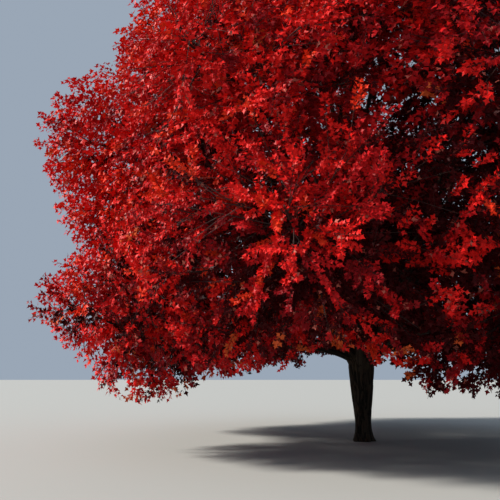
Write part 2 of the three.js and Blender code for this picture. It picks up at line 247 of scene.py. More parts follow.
# %% Sizes of the wood
TRUNK_OUTLINE = [
    (0, 0.286), (0.11, 0.241), (0.29, 0.212), (0.48, 0.207), (0.77, 0.234), (1.12, 0.276),
    (1.48, 0.316), (1.88, 0.345), (2.18, 0.332), (2.38, 0.258), (2.48, 0.15),
]
TRUNK_LEAN = 0.016
ROOTS = SimpleNamespace(count=5, depth=0.17, fade=0.33, turn=0.5)
HEAD_RIBS = SimpleNamespace(depth=0.05, start=0.9, end=1.9)
LIMB = SimpleNamespace(foot=0.132, tip=0.052)
LEADER = SimpleNamespace(foot=0.14, tip=0.046)
BOUGH = SimpleNamespace(foot=0.084, tip=0.044)
FOOT = SimpleNamespace(height=1.75, out=0.06)
TAPER = 0.8
COLLAR = SimpleNamespace(swell=0.5, fade=2.2)
HANDLES = SimpleNamespace(foot=0.36, tip=0.34)
PATHS = {
    "limb": dict(leave=1.6, arrive=1.8, short=0.55),
    "leader": dict(leave=12, arrive=12, short=0.9),
    "skirt_from_trunk": dict(height=1.88, leave=0.75, arrive=0, short=0.55, below=0.24, held=0.26),
    "skirt": dict(at=0.13, leave=0.35, arrive=-0.05, short=0.5, below=0.16),
    "side": dict(at=0.2, leave=0.5, arrive=0.15, short=0.5),
    "waist": dict(at=0.3, leave=0.7, arrive=0.25, short=0.5),
    "crest": dict(at=0.55, step=0.06, leave=1.3, arrive=0.8, short=0.5),
    "inner": dict(at=0.09, step=0.05, leave=0.9, arrive=0.2, short=0.5),
}
print("kinds of path:", ", ".join(PATHS))


# %% Paths
class Path:
    """A curve of four handles, read by the share of its length."""

    def __init__(self, handles, steps=200):
        self.handles = np.array(handles)
        self.shares = np.linspace(0, 1, steps + 1)
        points = self.point(self.shares)
        strides = np.linalg.norm(np.diff(points, axis=0), axis=1)
        self.along = np.concatenate(([0], strides.cumsum()))
        self.length = self.along[-1]

    def point(self, t):
        t = np.asarray(t)[..., None]
        a, b, c, d = self.handles
        return a * (1 - t) ** 3 + b * 3 * t * (1 - t) ** 2 + c * 3 * t**2 * (1 - t) + d * t**3

    def at(self, share):
        return self.point(np.interp(np.asarray(share) * self.length, self.along, self.shares))


def trunk_axis(height):
    return np.array((TRUNK_LEAN * height, 0.0, height))


# %% One bough, and a tier of them
boughs = []


def grow_bough(name, size, lobe, start, leave, arrive, short, below=0.0, held=HANDLES.foot, **_):
    out = unit((lobe.middle - start) * (1, 1, 0))
    leaving = unit(out + UP * leave)
    arriving = unit(out + UP * arrive)
    tip = lobe.middle - arriving * lobe.size * short - UP * lobe.size * below
    span = np.linalg.norm(tip - start)
    path = Path((start, start + leaving * span * held, tip - arriving * span * HANDLES.tip, tip))

    def radius_at(share):
        share = np.asarray(share)
        taper = size.foot + (size.tip - size.foot) * share**TAPER
        return taper * (1 + COLLAR.swell * np.exp(-share * path.length / (COLLAR.fade * size.foot)))

    bough = SimpleNamespace(name=name, lobe=lobe, path=path, radius_at=radius_at, out=out, arrive=arriving)
    boughs.append(bough)
    return bough


def tier_lobes(name):
    return [lobe for lobe in lobes if lobe.tier == name]


def grow_tier(name, tier, parents):
    for k, lobe in enumerate(tier_lobes(tier)):
        near = [bearing_vector(limb.lobe.bearing) @ bearing_vector(lobe.bearing) for limb in parents]
        parent = parents[int(np.argmax(near))]
        way = PATHS[tier]
        if tier == "skirt" and k % 2 == 0:
            way = PATHS["skirt_from_trunk"]
            start = trunk_axis(way["height"])
        else:
            start = parent.path.at(way["at"] + way.get("step", 0) * k)
        grow_bough(f"{name}_{k + 1}", BOUGH, lobe, start, **way)


# %% Grow the limbs, then the boughs on them
main_limbs = []
for k, lobe in enumerate(tier_lobes("shoulder")):
    start = trunk_axis(FOOT.height) + bearing_vector(lobe.bearing) * FOOT.out
    main_limbs.append(grow_bough(f"limb_{k + 1}", LIMB, lobe, start, **PATHS["limb"]))
leader = grow_bough("leader", LEADER, tier_lobes("top")[0], trunk_axis(FOOT.height), **PATHS["leader"])
grow_tier("low_bough", "skirt", main_limbs)
grow_tier("side_bough", "side", main_limbs)
grow_tier("bough", "waist", main_limbs)
grow_tier("high_bough", "crest", [leader])
grow_tier("inner_bough", "inner", [leader])

# %% Compare the paths with the solids
misses = []
for bough in boughs:
    low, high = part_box(bough.name)
    tip = bough.path.at(1.0)
    misses.append(max(*(np.array(low) - tip), *(tip - np.array(high))))
print("limbs and boughs:", len(boughs), "furthest tip outside its solid's box", round(max(misses), 4), "m")


# %% [markdown]
# ## Sweeping a round section along many paths
#
# Limbs and twigs are all the same thing at different sizes: a round section swept along a line, thinner
# towards its end. Skinning them one by one is slow, so the lines go into one mesh of edges, with the
# radius kept at each point, and a Geometry Nodes tree turns the edges to curves and sweeps them all at
# once. For the bark it also keeps where round the limb each point lies, and how far along.

# %% Helpers for trees of nodes
def new_tree(name, sockets):
    """A node tree with a geometry in and out, and named inputs given as (name, type, value)."""
    tree = bpy.data.node_groups.new(name, "GeometryNodeTree")
    tree.interface.new_socket("Geometry", in_out="INPUT", socket_type="NodeSocketGeometry")
    tree.interface.new_socket("Geometry", in_out="OUTPUT", socket_type="NodeSocketGeometry")
    for title, kind, value in sockets:
        socket = tree.interface.new_socket(title, in_out="INPUT", socket_type=f"NodeSocket{kind}")
        if value is not None:
            socket.default_value = value
    return tree, tree.nodes.new("NodeGroupInput"), tree.nodes.new("NodeGroupOutput")


def add_node(tree, kind, settings=(), **inputs):
    """A node with its settings, and each input joined to a socket or set to a value."""
    node = tree.nodes.new(kind)
    for key, value in dict(settings).items():
        setattr(node, key, value)
    for key, value in inputs.items():
        socket = node.inputs[int(key[1:])] if key[1:].isdigit() else node.inputs[key.replace("_", " ")]
        if isinstance(value, bpy.types.NodeSocket):
            tree.links.new(value, socket)
        else:
            socket.default_value = value
    return node


def calculate(tree, operation, *values):
    """The result of one operation on numbers or sockets."""
    inputs = {f"_{n}": value for n, value in enumerate(values)}
    return add_node(tree, "ShaderNodeMath", {"operation": operation}, **inputs).outputs[0]


def kept_at_points(tree, name, kind="FLOAT"):
    """What a mesh keeps at each of its points under a name."""
    return add_node(tree, "GeometryNodeInputNamedAttribute", {"data_type": kind}, Name=name).outputs[0]


def finish_tree(tree, geometry, material, group_out):
    """Real faces instead of instances, then the material: the export needs both."""
    real = add_node(tree, "GeometryNodeRealizeInstances", Geometry=geometry)
    painted = add_node(tree, "GeometryNodeSetMaterial", Geometry=real.outputs[0], Material=material)
    tree.links.new(painted.outputs[0], group_out.inputs[0])


# %% The tree that sweeps
def sweep_tree():
    tree, group_in, group_out = new_tree("sweep along paths", [
        ("Sides", "Int", 8),
        ("Material", "Material", None),
    ])
    girth = kept_at_points(tree, "girth")
    curves = add_node(tree, "GeometryNodeMeshToCurve", Mesh=group_in.outputs["Geometry"])
    length = add_node(tree, "GeometryNodeSplineParameter")
    marked = add_node(tree, "GeometryNodeStoreNamedAttribute", Geometry=curves.outputs[0], Name="along",
                      Value=length.outputs["Length"])
    sides = group_in.outputs["Sides"]
    ring = add_node(tree, "GeometryNodeCurvePrimitiveCircle", Resolution=sides, Radius=1.0)
    place = add_node(tree, "GeometryNodeInputPosition")
    section = add_node(tree, "GeometryNodeStoreNamedAttribute", {"data_type": "FLOAT_VECTOR"},
                       Geometry=ring.outputs[0], Name="round", Value=place.outputs[0])
    swept = add_node(tree, "GeometryNodeCurveToMesh", Curve=marked.outputs[0], Scale=girth,
                     Profile_Curve=section.outputs[0], Fill_Caps=True)
    finish_tree(tree, swept.outputs[0], group_in.outputs["Material"], group_out)
    return tree


SWEEP = sweep_tree()
print("sweep along paths:", len(SWEEP.nodes), "nodes")


# %% Run a tree and keep what it makes
def keep_result(piece):
    """What the modifiers make of a piece becomes its plain mesh."""
    depsgraph = bpy.context.evaluated_depsgraph_get()
    mesh = bpy.data.meshes.new_from_object(piece.evaluated_get(depsgraph), depsgraph=depsgraph)
    piece.modifiers.clear()
    old = piece.data
    piece.data = mesh
    bpy.data.meshes.remove(old)
    mesh.name = piece.name


def run_tree(piece, tree, **values):
    """Evaluates a tree on a piece, with its inputs set by identifier, and keeps the plain mesh."""
    modifier = piece.modifiers.new(tree.name, "NODES")
    modifier.node_group = tree
    named = {item.name: item.identifier for item in tree.interface.items_tree if item.in_out == "INPUT"}
    for key, value in values.items():
        modifier[named[key.replace("_", " ")]] = value
    keep_result(piece)
    return piece


# %% Points and numbers of a mesh
def link(name, mesh):
    piece = bpy.data.objects.new(name, mesh)
    bpy.context.scene.collection.objects.link(piece)
    return piece


def point_mesh(name, points):
    mesh = bpy.data.meshes.new(name)
    mesh.vertices.add(len(points))
    mesh.vertices.foreach_set("co", points.astype(np.float32).ravel())
    return mesh


def set_numbers(mesh, name, values):
    attribute = mesh.attributes.new(name, "FLOAT", "POINT")
    attribute.data.foreach_set("value", values.astype(np.float32))


def get_numbers(mesh, name):
    values = np.empty(len(mesh.vertices), np.float32)
    mesh.attributes[name].data.foreach_get("value", values)
    return values


def set_vectors(mesh, name, values):
    attribute = mesh.attributes.get(name) or mesh.attributes.new(name, "FLOAT_VECTOR", "POINT")
    attribute.data.foreach_set("vector", values.astype(np.float32).ravel())


def get_vectors(mesh, name="position"):
    values = np.empty(len(mesh.vertices) * 3, np.float32)
    mesh.attributes[name].data.foreach_get("vector", values)
    return values.reshape(-1, 3).astype(float)


# %% Lines as a mesh of edges
def line_object(name, lines):
    """One object from many lines, each given as (points, radii)."""
    points, girths = (np.concatenate(parts) for parts in zip(*lines))
    ends = np.cumsum([len(line[0]) for line in lines])
    starts = np.setdiff1d(np.arange(len(points) - 1), ends - 1)
    mesh = point_mesh(name, points)
    mesh.edges.add(len(starts))
    mesh.edges.foreach_set("vertices", np.stack((starts, starts + 1), axis=1).astype(np.int32).ravel())
    set_numbers(mesh, "girth", girths)
    return link(name, mesh)


def triangles(piece):
    piece.data.calc_loop_triangles()
    return len(piece.data.loop_triangles)


# %% [markdown]
# ## Materials of the wood
#
# Old maple bark is grey-brown, broken into long narrow plates with nearly black furrows between them,
# and here it stands in deep shade. Relief in the mesh gives the furrows their depth. The material adds
# what is too fine for it: dark in the furrows, partly the bark's own colour and partly painted shade,
# tan patches where the bark is younger, and a fine bump. Every brown is also painted darker for the
# crown's shade over the trunk. Both read the same attribute, so that colour and relief agree.

# %% Colours of the wood
BARK = SimpleNamespace(plates=12.0, stretch=0.11, furrow=0.09)
BARK_FINISH = SimpleNamespace(grain=42.0, bump=0.6, depth=0.008, roughness=0.9, shine=0.25)
# painted shade: the furrows are darker partly for the shade that falls in them, and every brown is darker
# for the crown's shade over the trunk
BARK_TONES_AND_SHADE = [  # from the top of a plate to the bottom of a furrow
    (0.0, (0.040, 0.027, 0.018)),
    (0.45, (0.019, 0.013, 0.009)),
    (1.0, (0.004, 0.003, 0.002)),
]
PATCH = SimpleNamespace(scale=2.6, starts=0.52, full=0.66, share=0.4, tone=(0.050, 0.034, 0.014, 1.0))
TWIG_TONES = [(0.35, (0.014, 0.007, 0.006)), (0.65, (0.045, 0.015, 0.011))]
TWIG_BARK = SimpleNamespace(spots=6.0, roughness=0.7, shine=0.3)


def new_material(name):
    material = bpy.data.materials.new(name)
    material.use_nodes = True
    return material, material.node_tree, material.node_tree.nodes["Principled BSDF"]


def ramp(tree, value, stops):
    """A colour ramp over a value, with stops given as (place, colour)."""
    node = add_node(tree, "ShaderNodeValToRGB", Fac=value)
    while len(node.color_ramp.elements) < len(stops):
        node.color_ramp.elements.new(0.5)  # its real place is set below
    for element, (place, colour) in zip(node.color_ramp.elements, stops):
        element.position = place
        element.color = (*colour, 1.0)
    return node.outputs["Color"]


def noise(tree, place, scale, **settings):
    return add_node(tree, "ShaderNodeTexNoise", Vector=place, Scale=scale, **settings).outputs["Fac"]


def finish_skin(tree, shader, finish, height=None):
    """Sets a skin's roughness and shine, and bumps it where there's a height."""
    shader.inputs["Roughness"].default_value = finish.roughness
    shader.inputs["Specular IOR Level"].default_value = finish.shine
    if height is not None:
        bump = add_node(tree, "ShaderNodeBump", Strength=finish.bump, Distance=finish.depth, Height=height)
        tree.links.new(bump.outputs[0], shader.inputs["Normal"])


# %% Furrowed bark
def furrow_depth(tree, place):
    """From 0 on a plate to 1 at the bottom of a furrow. Furrows follow the middle of a noise."""
    swirl = noise(tree, place, 1.0, Detail=2.0, Roughness=0.55, Distortion=0.5)
    apart = calculate(tree, "ABSOLUTE", calculate(tree, "SUBTRACT", swirl, 0.5))
    depth = add_node(tree, "ShaderNodeMapRange", {"interpolation_type": "SMOOTHSTEP"}, Value=apart,
                     From_Min=0.0, From_Max=BARK.furrow, To_Min=1.0, To_Max=0.0)
    return depth.outputs[0]


def bark_material():
    material, tree, shader = new_material("furrowed bark")
    grain = add_node(tree, "ShaderNodeAttribute", {"attribute_name": "grain"}).outputs["Vector"]
    scale = (BARK.plates, BARK.plates, BARK.plates * BARK.stretch)
    plates = add_node(tree, "ShaderNodeMapping", Vector=grain, Scale=scale)
    # painted shade: the ramp darkens the bark towards the bottom of each furrow
    wood = ramp(tree, furrow_depth(tree, plates.outputs[0]), BARK_TONES_AND_SHADE)
    patches = noise(tree, grain, PATCH.scale, Detail=5.0)
    tan = ramp(tree, patches, [(PATCH.starts, (0, 0, 0)), (PATCH.full, (1, 1, 1))])
    mixed = add_node(tree, "ShaderNodeMix", {"data_type": "RGBA", "blend_type": "ADD"},
                     _0=calculate(tree, "MULTIPLY", tan, PATCH.share), _6=wood, _7=PATCH.tone)
    tree.links.new(mixed.outputs[2], shader.inputs["Base Color"])
    fine = noise(tree, grain, BARK_FINISH.grain, Detail=4.0, Roughness=0.6)
    finish_skin(tree, shader, BARK_FINISH, fine)
    return material


# %% Smooth skin of the twigs
def twig_material():
    material, tree, shader = new_material("twig bark")
    place = add_node(tree, "ShaderNodeTexCoord").outputs["Object"]
    colour = ramp(tree, noise(tree, place, TWIG_BARK.spots, Detail=2.0), TWIG_TONES)
    tree.links.new(colour, shader.inputs["Base Color"])
    finish_skin(tree, shader, TWIG_BARK)
    return material


BARK_SKIN = bark_material()
TWIG_SKIN = twig_material()
print("materials of the wood:", BARK_SKIN.name, "and", TWIG_SKIN.name)


# %% [markdown]
# ## The trunk and its fork
#
# The trunk swells at its roots, is thinnest at knee height and widens again to the fork, where the
# limbs grow out of it with no seam. Separate tubes would leave sharp creases there. So the trunk and
# the limbs' feet are laid into each other as closed shells, a voxel remesh melts them to one skin, and
# a few rounds of smoothing fill the crotches as living wood does.

# %% The shells that are melted together
FORK = SimpleNamespace(stretch=1.3, low_stretch=0.75, proud=0.006, sunk=0.01, voxel=0.0145)
SOFTEN = SimpleNamespace(factor=0.5, rounds=7)
TRUNK_SIDES = 64
TRUNK_RINGS = 110
ASKEW = EAST + 0.2 * UP  # no limb runs this way, so a side square to it is never lost


def shell(rings):
    """A closed shell from rings of points, with both ends filled."""
    rings = np.array(rings)
    count, sides = rings.shape[:2]
    corners = rings.reshape(-1, 3)
    quads = []
    for ring in range(count - 1):
        for side in range(sides):
            a = ring * sides + side
            b = ring * sides + (side + 1) % sides
            quads.append((a, b, b + sides, a + sides))
    quads.append(tuple(reversed(range(sides))))
    quads.append(tuple(range((count - 1) * sides, count * sides)))
    return corners, quads


def ring_angles(sides):
    return np.linspace(0, 2 * math.pi, sides, endpoint=False)


def smooth_step(value, start, end):
    share = np.clip((value - start) / (end - start), 0, 1)
    return share * share * (3 - 2 * share)


# %% Shells of the trunk and of a limb's foot
def trunk_shell():
    angles = ring_angles(TRUNK_SIDES)
    circle = np.stack((np.cos(angles), np.sin(angles), np.zeros(TRUNK_SIDES)), axis=1)
    first = math.radians(tier_lobes("shoulder")[0].bearing)
    top = TRUNK_OUTLINE[-1][0]
    rings = []
    for height in np.linspace(0, top, TRUNK_RINGS):
        roots = ROOTS.depth * math.exp(-height / ROOTS.fade) * np.cos(ROOTS.count * angles + ROOTS.turn)
        rising = smooth_step(height, HEAD_RIBS.start, HEAD_RIBS.end)
        ribs = HEAD_RIBS.depth * rising * np.cos(len(main_limbs) * (angles - first))
        across = along_line(height, TRUNK_OUTLINE) * (1 + roots + ribs)
        rings.append(trunk_axis(height) + across[:, None] * circle)
    return shell(rings)


def frame_along(path, shares):
    """Points of a path with two directions square to it."""
    points = path.at(shares)
    way = unit(np.gradient(points, axis=0))
    side = unit(np.cross(way, ASKEW))
    return points, side, np.cross(way, side)


def foot_shell(bough, stretch, sides=20, steps=26):
    end = min(stretch / bough.path.length, 1.0)
    shares = np.linspace(0, end, steps)
    points, side, lift = frame_along(bough.path, shares)
    radii = bough.radius_at(shares) + np.linspace(FORK.proud, -FORK.sunk, steps)
    angles = ring_angles(sides)[:, None]
    rings = [
        point + radius * (np.cos(angles) * u + np.sin(angles) * v)
        for point, radius, u, v in zip(points, radii, side, lift)
    ]
    return shell(rings)


def join_shells(name, shells):
    corners = []
    faces = []
    for points, quads in shells:
        shift = len(corners)
        corners.extend(points.tolist())
        faces.extend([tuple(c + shift for c in quad) for quad in quads])
    mesh = bpy.data.meshes.new(name)
    mesh.from_pydata(corners, [], faces)
    return link(name, mesh)


# %% Melt and smooth the fork
low_boughs = [bough for bough in boughs if bough.name.startswith("low_bough")]
shells = [trunk_shell()]
shells += [foot_shell(bough, FORK.stretch) for bough in [*main_limbs, leader]]
shells += [foot_shell(bough, FORK.low_stretch) for bough in low_boughs]
fork = join_shells("trunk_and_fork", shells)
melt = fork.modifiers.new("melt", "REMESH")
melt.mode = "VOXEL"
melt.voxel_size = FORK.voxel
soften = fork.modifiers.new("soften", "SMOOTH")
soften.factor = SOFTEN.factor
soften.iterations = SOFTEN.rounds
keep_result(fork)
print("fork:", triangles(fork), "triangles")


# %% [markdown]
# ## Bark that follows the wood
#
# Furrows run along the trunk and turn with each limb, so a pattern in plain coordinates would cut
# across them. Each point of the skin therefore keeps its grain: two numbers for its place round the
# nearest limb and one for its distance along it. On the swept limbs the sweep gives them. On the fork
# they are measured from the paths.

# %% Grain of the fork
FORK_TOP = 1.95  # above this the skin belongs to a limb, not to the trunk
LIMB_FOOT = SimpleNamespace(hidden=0.35, reach=1.6, steps=40)  # the stretch of a limb that is in the fork


def measure_grain(piece):
    places = get_vectors(piece.data)
    axis = np.stack((places[:, 2] * TRUNK_LEAN, np.zeros(len(places)), places[:, 2]), axis=1)
    grain = np.concatenate(((places - axis)[:, :2], places[:, 2:]), axis=1)
    nearest = np.linalg.norm(places - axis, axis=1) - along_line(places[:, 2], TRUNK_OUTLINE)
    nearest[places[:, 2] > FORK_TOP] = np.inf
    for bough in [*main_limbs, leader, *low_boughs]:
        shares = np.linspace(0, min(LIMB_FOOT.reach / bough.path.length, 1), LIMB_FOOT.steps)
        points, side, lift = frame_along(bough.path, shares)
        apart = np.linalg.norm(places[:, None, :] - points, axis=2)
        closest = apart.argmin(axis=1)
        clear = apart.min(axis=1) - bough.radius_at(shares)[closest]
        along = shares[closest] * bough.path.length
        mine = (clear < nearest) & (along > LIMB_FOOT.hidden)
        offset = places - points[closest]
        across = (offset * side[closest]).sum(axis=1)
        above = (offset * lift[closest]).sum(axis=1)
        own = np.stack((across, above, along + FOOT.height), axis=1)
        grain[mine] = own[mine]
        nearest[mine] = clear[mine]
    set_vectors(piece.data, "grain", grain)


measure_grain(fork)
print("fork: grain measured at", len(fork.data.vertices), "points")


# %% [markdown]
# ## Relief of the bark
#
# A tree of nodes pushes the skin in along its furrows. They are the same furrows that the material
# darkens, drawn out along the limb. Displacement in the material would be lost in the export, and a
# sculpted map would be a picture, so the relief is in the mesh itself.

# %% The tree that cuts furrows
FURROWS = SimpleNamespace(trunk=0.020, limbs=0.009)


def relief_tree():
    tree, group_in, group_out = new_tree("bark relief", [
        ("Plates per metre", "Float", BARK.plates),
        ("Stretch", "Float", BARK.stretch),
        ("Depth", "Float", FURROWS.trunk),
        ("Material", "Material", None),
    ])
    grain = kept_at_points(tree, "grain", "FLOAT_VECTOR")
    across = group_in.outputs["Plates per metre"]
    along = calculate(tree, "MULTIPLY", group_in.outputs["Stretch"], across)
    scale = add_node(tree, "ShaderNodeCombineXYZ", X=across, Y=across, Z=along)
    place = add_node(tree, "ShaderNodeVectorMath", {"operation": "MULTIPLY"}, _0=grain, _1=scale.outputs[0])
    deep = calculate(tree, "MULTIPLY", furrow_depth(tree, place.outputs[0]), group_in.outputs["Depth"])
    normal = add_node(tree, "GeometryNodeInputNormal")
    offset = add_node(tree, "ShaderNodeVectorMath", {"operation": "SCALE"}, _0=normal.outputs[0],
                      Scale=calculate(tree, "MULTIPLY", deep, -1.0))
    moved = add_node(tree, "GeometryNodeSetPosition", Geometry=group_in.outputs["Geometry"],
                     Offset=offset.outputs[0])
    finish_tree(tree, moved.outputs[0], group_in.outputs["Material"], group_out)
    return tree


# %% Furrows of the fork, and a flat cut at the ground
RELIEF = relief_tree()
run_tree(fork, RELIEF, Depth=FURROWS.trunk, Material=BARK_SKIN)
places = get_vectors(fork.data)
places[:, 2] = np.where(places[:, 2] < FORK.voxel, 0.0, places[:, 2])
set_vectors(fork.data, "position", places)
print("fork: lowest point", places[:, 2].min(), "highest", round(places[:, 2].max(), 2))

# %% Limbs and boughs along their whole length
LIMB_SIDES = 16
LIMB_STRIDE = 0.07
LIMB_GRAIN = BOUGH.foot * 1.4  # the sweep's round of 1 becomes this wide, as on a middling limb
SUNK_FOOT = SimpleNamespace(share=0.35, length=0.2)  # a bough starts thin inside its parent


def bough_line(bough):
    shares = np.linspace(0, 1, int(bough.path.length / LIMB_STRIDE))
    swelling = shares * bough.path.length / SUNK_FOOT.length
    sunk = np.clip(SUNK_FOOT.share + (1 - SUNK_FOOT.share) * swelling, 0, 1)
    return bough.path.at(shares), bough.radius_at(shares) * sunk


limbs = line_object("limbs_and_boughs", [bough_line(bough) for bough in boughs])
run_tree(limbs, SWEEP, Sides=LIMB_SIDES, Material=BARK_SKIN)
section = get_vectors(limbs.data, "round")[:, :2] * LIMB_GRAIN
set_vectors(limbs.data, "grain", np.column_stack((section, get_numbers(limbs.data, "along"))))
run_tree(limbs, RELIEF, Depth=FURROWS.limbs, Material=BARK_SKIN)
print("limbs and boughs:", triangles(limbs), "triangles")


# %% [markdown]
# ## Stems and twigs
#
# From the end of its bough each mass grows one stem, and twigs leave the stem in turn, first nearly
# square to it and then further forward, each as long as the lobe's space allows. This is the solids'
# rule. Then it is carried on to twigs between those, side twigs and leafy shoots. On a real tree the
# finest growth goes where there's light and room, so each of these heads for the emptiest spot that it
# can reach. A particle system would be lost in the export, and this loop is short and has a seed.

# %% Sizes of the twigs
STEM = SimpleNamespace(radius=0.042, end=0.5, beyond=0.42, longest=1.25)
STEM_SHARES = (1, 0.8, 0.62, 0.48, 0.36)
TWIG = SimpleNamespace(count=8, first=0.14, last=0.93, radius=0.02, end=0.5, share=0.5, least=0.5)
LEAN = SimpleNamespace(first=82, last=38, stray=8)
TIP_SHORT = 0.33  # how far a twig stops short of its lobe's surface
TWIG_RISE = 0.16  # how much steeper than its way to the tip a twig leaves
LIMB_CLEARANCE = 0.012

# %% Sizes of the finer twigs
# Each kind leaves its parent from the share `first` on, one every `stride`, at `lean` degrees at most at
# the parent's foot and tip. It ends in a spot that's `space` from other tips and `short` of the skin, and
# a kind that's `flat` keeps square to the light, as sprays of leaves do.
BETWEEN = SimpleNamespace(stride=0.13, first=0.04, length=2.8, space=0.7, lean=(140, 60), flat=0.0,
                          short=0.38, radius=0.015, end=0.5)
SIDE_TWIG = SimpleNamespace(stride=0.2, first=0.15, length=1.3, space=0.42, lean=(105, 50), flat=0.5,
                            short=0.16, radius=0.008, end=0.5)
SHOOT = SimpleNamespace(stride=0.12, first=0.2, length=0.45, space=0.27, lean=(90, 50), flat=0.6,
                        short=0.0, radius=0.0042, end=0.5)
SHORTEST = 0.3  # a finer twig with room for less than this share of its length doesn't grow
THINNEST = 0.5  # the share of its kind's radius that a very short one has
SWEEP_BACK = SimpleNamespace(forward=0.3, down=0.2)  # how a finer twig leaves before it turns to the light
SPOTS = 9000  # places tried in each lobe's box
ALIVE_BY_SHADE = [(1.0, 1.0), (3.2, 0.2)]  # metres of shade, and the share of spots that live in it
SPACE_BY_SHADE = [(0.4, 0.84), (2.0, 1.15)]  # metres of shade, and how widely twigs stand in it
print("a shoot's leaves hang within", SHOOT.length, "m of a side twig of up to", SIDE_TWIG.length, "m")


# %% [markdown]
# ## Room for the finest growth
#
# Seen from outside, the real crown is one full dome, and its lobes are only shallow swellings. So the
# finest twigs may also fill the valleys between the lobes, up to a smooth outline a little inside the
# lobes' own. Neighbours mingle a little where they meet, so that no straight seam shows. How low they
# hang depends on the side: the photograph shows the foliage lifted over the trunk and hanging lower to
# the left and the right of it. On the left the underside slants up to the rim.

# %% Sizes of the valleys, the skirt and the rim
FULLNESS = SimpleNamespace(growth=5.0, highest=15.3)
INSIDE_BY_BEARING = [  # how far inside the crown's outline the valleys stay, with notches on the left
    (0, 0.4), (150, 0.4), (172, 1.3), (214, 1.3), (232, 0.4), (360, 0.4),
]
LOWEST_BY_BEARING = [  # how low the valleys are filled, by the side of the tree
    (0, 2.4), (190, 2.4), (205, 1.5), (242, 1.7), (250, 2.15), (259, 2.1), (265, 1.2), (320, 1.2),
    (345, 2.4), (360, 2.4),
]
RIM = [  # how far out from the trunk, and how high the underside is there
    (5.7, 0.9), (6.8, 1.25), (7.3, 1.95), (8.0, 2.6), (8.7, 2.8),
]
LEFT_EDGE = [(165, 0.0), (178, 1.0), (228, 1.0), (242, 0.0)]  # 1 on the bearings of the picture's left edge
MINGLE = 0.14  # the finest growth of two neighbours reaches this far past each other
print("the underside of the rim is at", RIM[0][1], "to", RIM[-1][1], "m")

# %% Whose room a point is in
def depth_in_lobes(points):
    """Below zero inside a lobe: one column for each lobe."""
    return (((points[:, None, :] - MIDDLES) * STRETCH) ** 2).sum(axis=2) - LOBE_SIZES**2


def bearing_and_reach(points):
    """Degrees round the trunk's axis and metres out from it."""
    bearing = np.degrees(np.arctan2(points[:, 1], points[:, 0])) % 360
    return bearing, np.hypot(points[:, 0], points[:, 1])


def in_dome(points):
    """True for points inside the smooth outline that the valleys are filled to."""
    height = points[:, 2]
    bearing, reach = bearing_and_reach(points)
    outline = along_line(height, CROWN_OUTLINE) - along_line(bearing, INSIDE_BY_BEARING)
    lowest = along_line(bearing, LOWEST_BY_BEARING)
    return (reach < outline) & (height < FULLNESS.highest) & (height > lowest)


def foliage_room(points):
    """True for each point and lobe where the point is in the lobe or in a valley beside it."""
    depth = depth_in_lobes(points)
    bearing, reach = bearing_and_reach(points)
    above_rim = points[:, 2] > along_line(reach, RIM) * along_line(bearing, LEFT_EDGE)
    return ((depth < 0) | ((depth < FULLNESS.growth) & in_dome(points)[:, None])) & above_rim[:, None]


def in_space(k, points):
    """True for each of many points that lobe k's finest growth may fill."""
    depth = depth_in_lobes(points)
    apart = np.linalg.norm((MIDDLES - MIDDLES[k]) * STRETCH, axis=1)
    ours = depth - depth[:, k:k + 1] >= -2 * apart * MINGLE
    return foliage_room(points)[:, k] & ours.all(axis=1)


# %% Shade
CROWN_HEART = np.array((0.0, 0.0, 6.2))  # leaves and twigs turn away from here
RISE = SimpleNamespace(twigs=0.45, leaves=0.55)  # how far they turn up from straight out
SHADE_STEP = 0.4  # metres between the places where foliage is looked for
SHADE_STEPS = 9
print("foliage is looked for up to", round(SHADE_STEP * SHADE_STEPS, 1), "m towards the light")


def out_of_heart(points):
    return unit((points - CROWN_HEART) * STRETCH)


def outward(points, rise=RISE.twigs):
    """Away from the crown's heart, and a little up: the side that the light comes from."""
    return unit(out_of_heart(points) + rise * UP)


def shade_over(points):
    """Metres of foliage between each point and the light."""
    way = outward(points)
    shade = np.zeros(len(points))
    for step in range(1, SHADE_STEPS + 1):
        shade += SHADE_STEP * foliage_room(points + way * SHADE_STEP * step).any(axis=1)
    return shade


# %% [markdown]
# ## Tufts and gaps
#
# A real crown's skin isn't even. It is made of tufts about a metre across with dark gaps between them,
# and that is what gives the photograph its strong light and dark. A smooth random swell, made of a few
# waves that run through the crown in all directions, says where a tuft stands and where a gap opens.
# The hanging skirt and the left edge stay closed, as they are in the photograph. The swell also
# paints light and shade into the leaves' tints: a tuft's sprays are dealt brighter reds, a gap's darker.

# %% The swell
SWELL = SimpleNamespace(waves=14, shortest=1.3, longest=2.6, gap=-0.28, deep=0.7, lowest=2.8)


def random_waves(chance):
    ways = unit(chance.normal(size=(SWELL.waves, 3)))
    lengths = chance.uniform(SWELL.shortest, SWELL.longest, (SWELL.waves, 1))
    return ways * math.tau / lengths, chance.uniform(0, math.tau, SWELL.waves)


WAVES, PHASES = random_waves(np.random.default_rng(SEEDS.swell))
print("waves of the swell:", len(WAVES), "from", SWELL.shortest, "to", SWELL.longest, "m long")


def tufts(points):
    """Above zero in a tuft and below it in a gap, mostly between -1 and 1."""
    return np.cos(points @ WAVES.T + PHASES).sum(axis=1) / math.sqrt(2 * SWELL.waves)


def in_gap(points, shade):
    """True for points in a gap of the crown's skin."""
    closed = along_line(bearing_and_reach(points)[0], LEFT_EDGE)
    open_here = (shade < SWELL.deep) & (points[:, 2] > SWELL.lowest)
    return open_here & (tufts(points) < SWELL.gap - closed)


# %% [markdown]
# ## Growing the twigs
#
# A stem and eight twigs come first, by the same sums and the same draws as the solids'. Finer twigs then
# leave each one in turn. The spots that they may end in are scattered through the lobe, and each twig
# takes the spot that's furthest from the tips grown so far, as far as it can reach and turn. The stem
# and the first twigs keep clear of the limbs, and so do the tips of the leaves. What lies between is too
# thin to show where it crosses a limb.

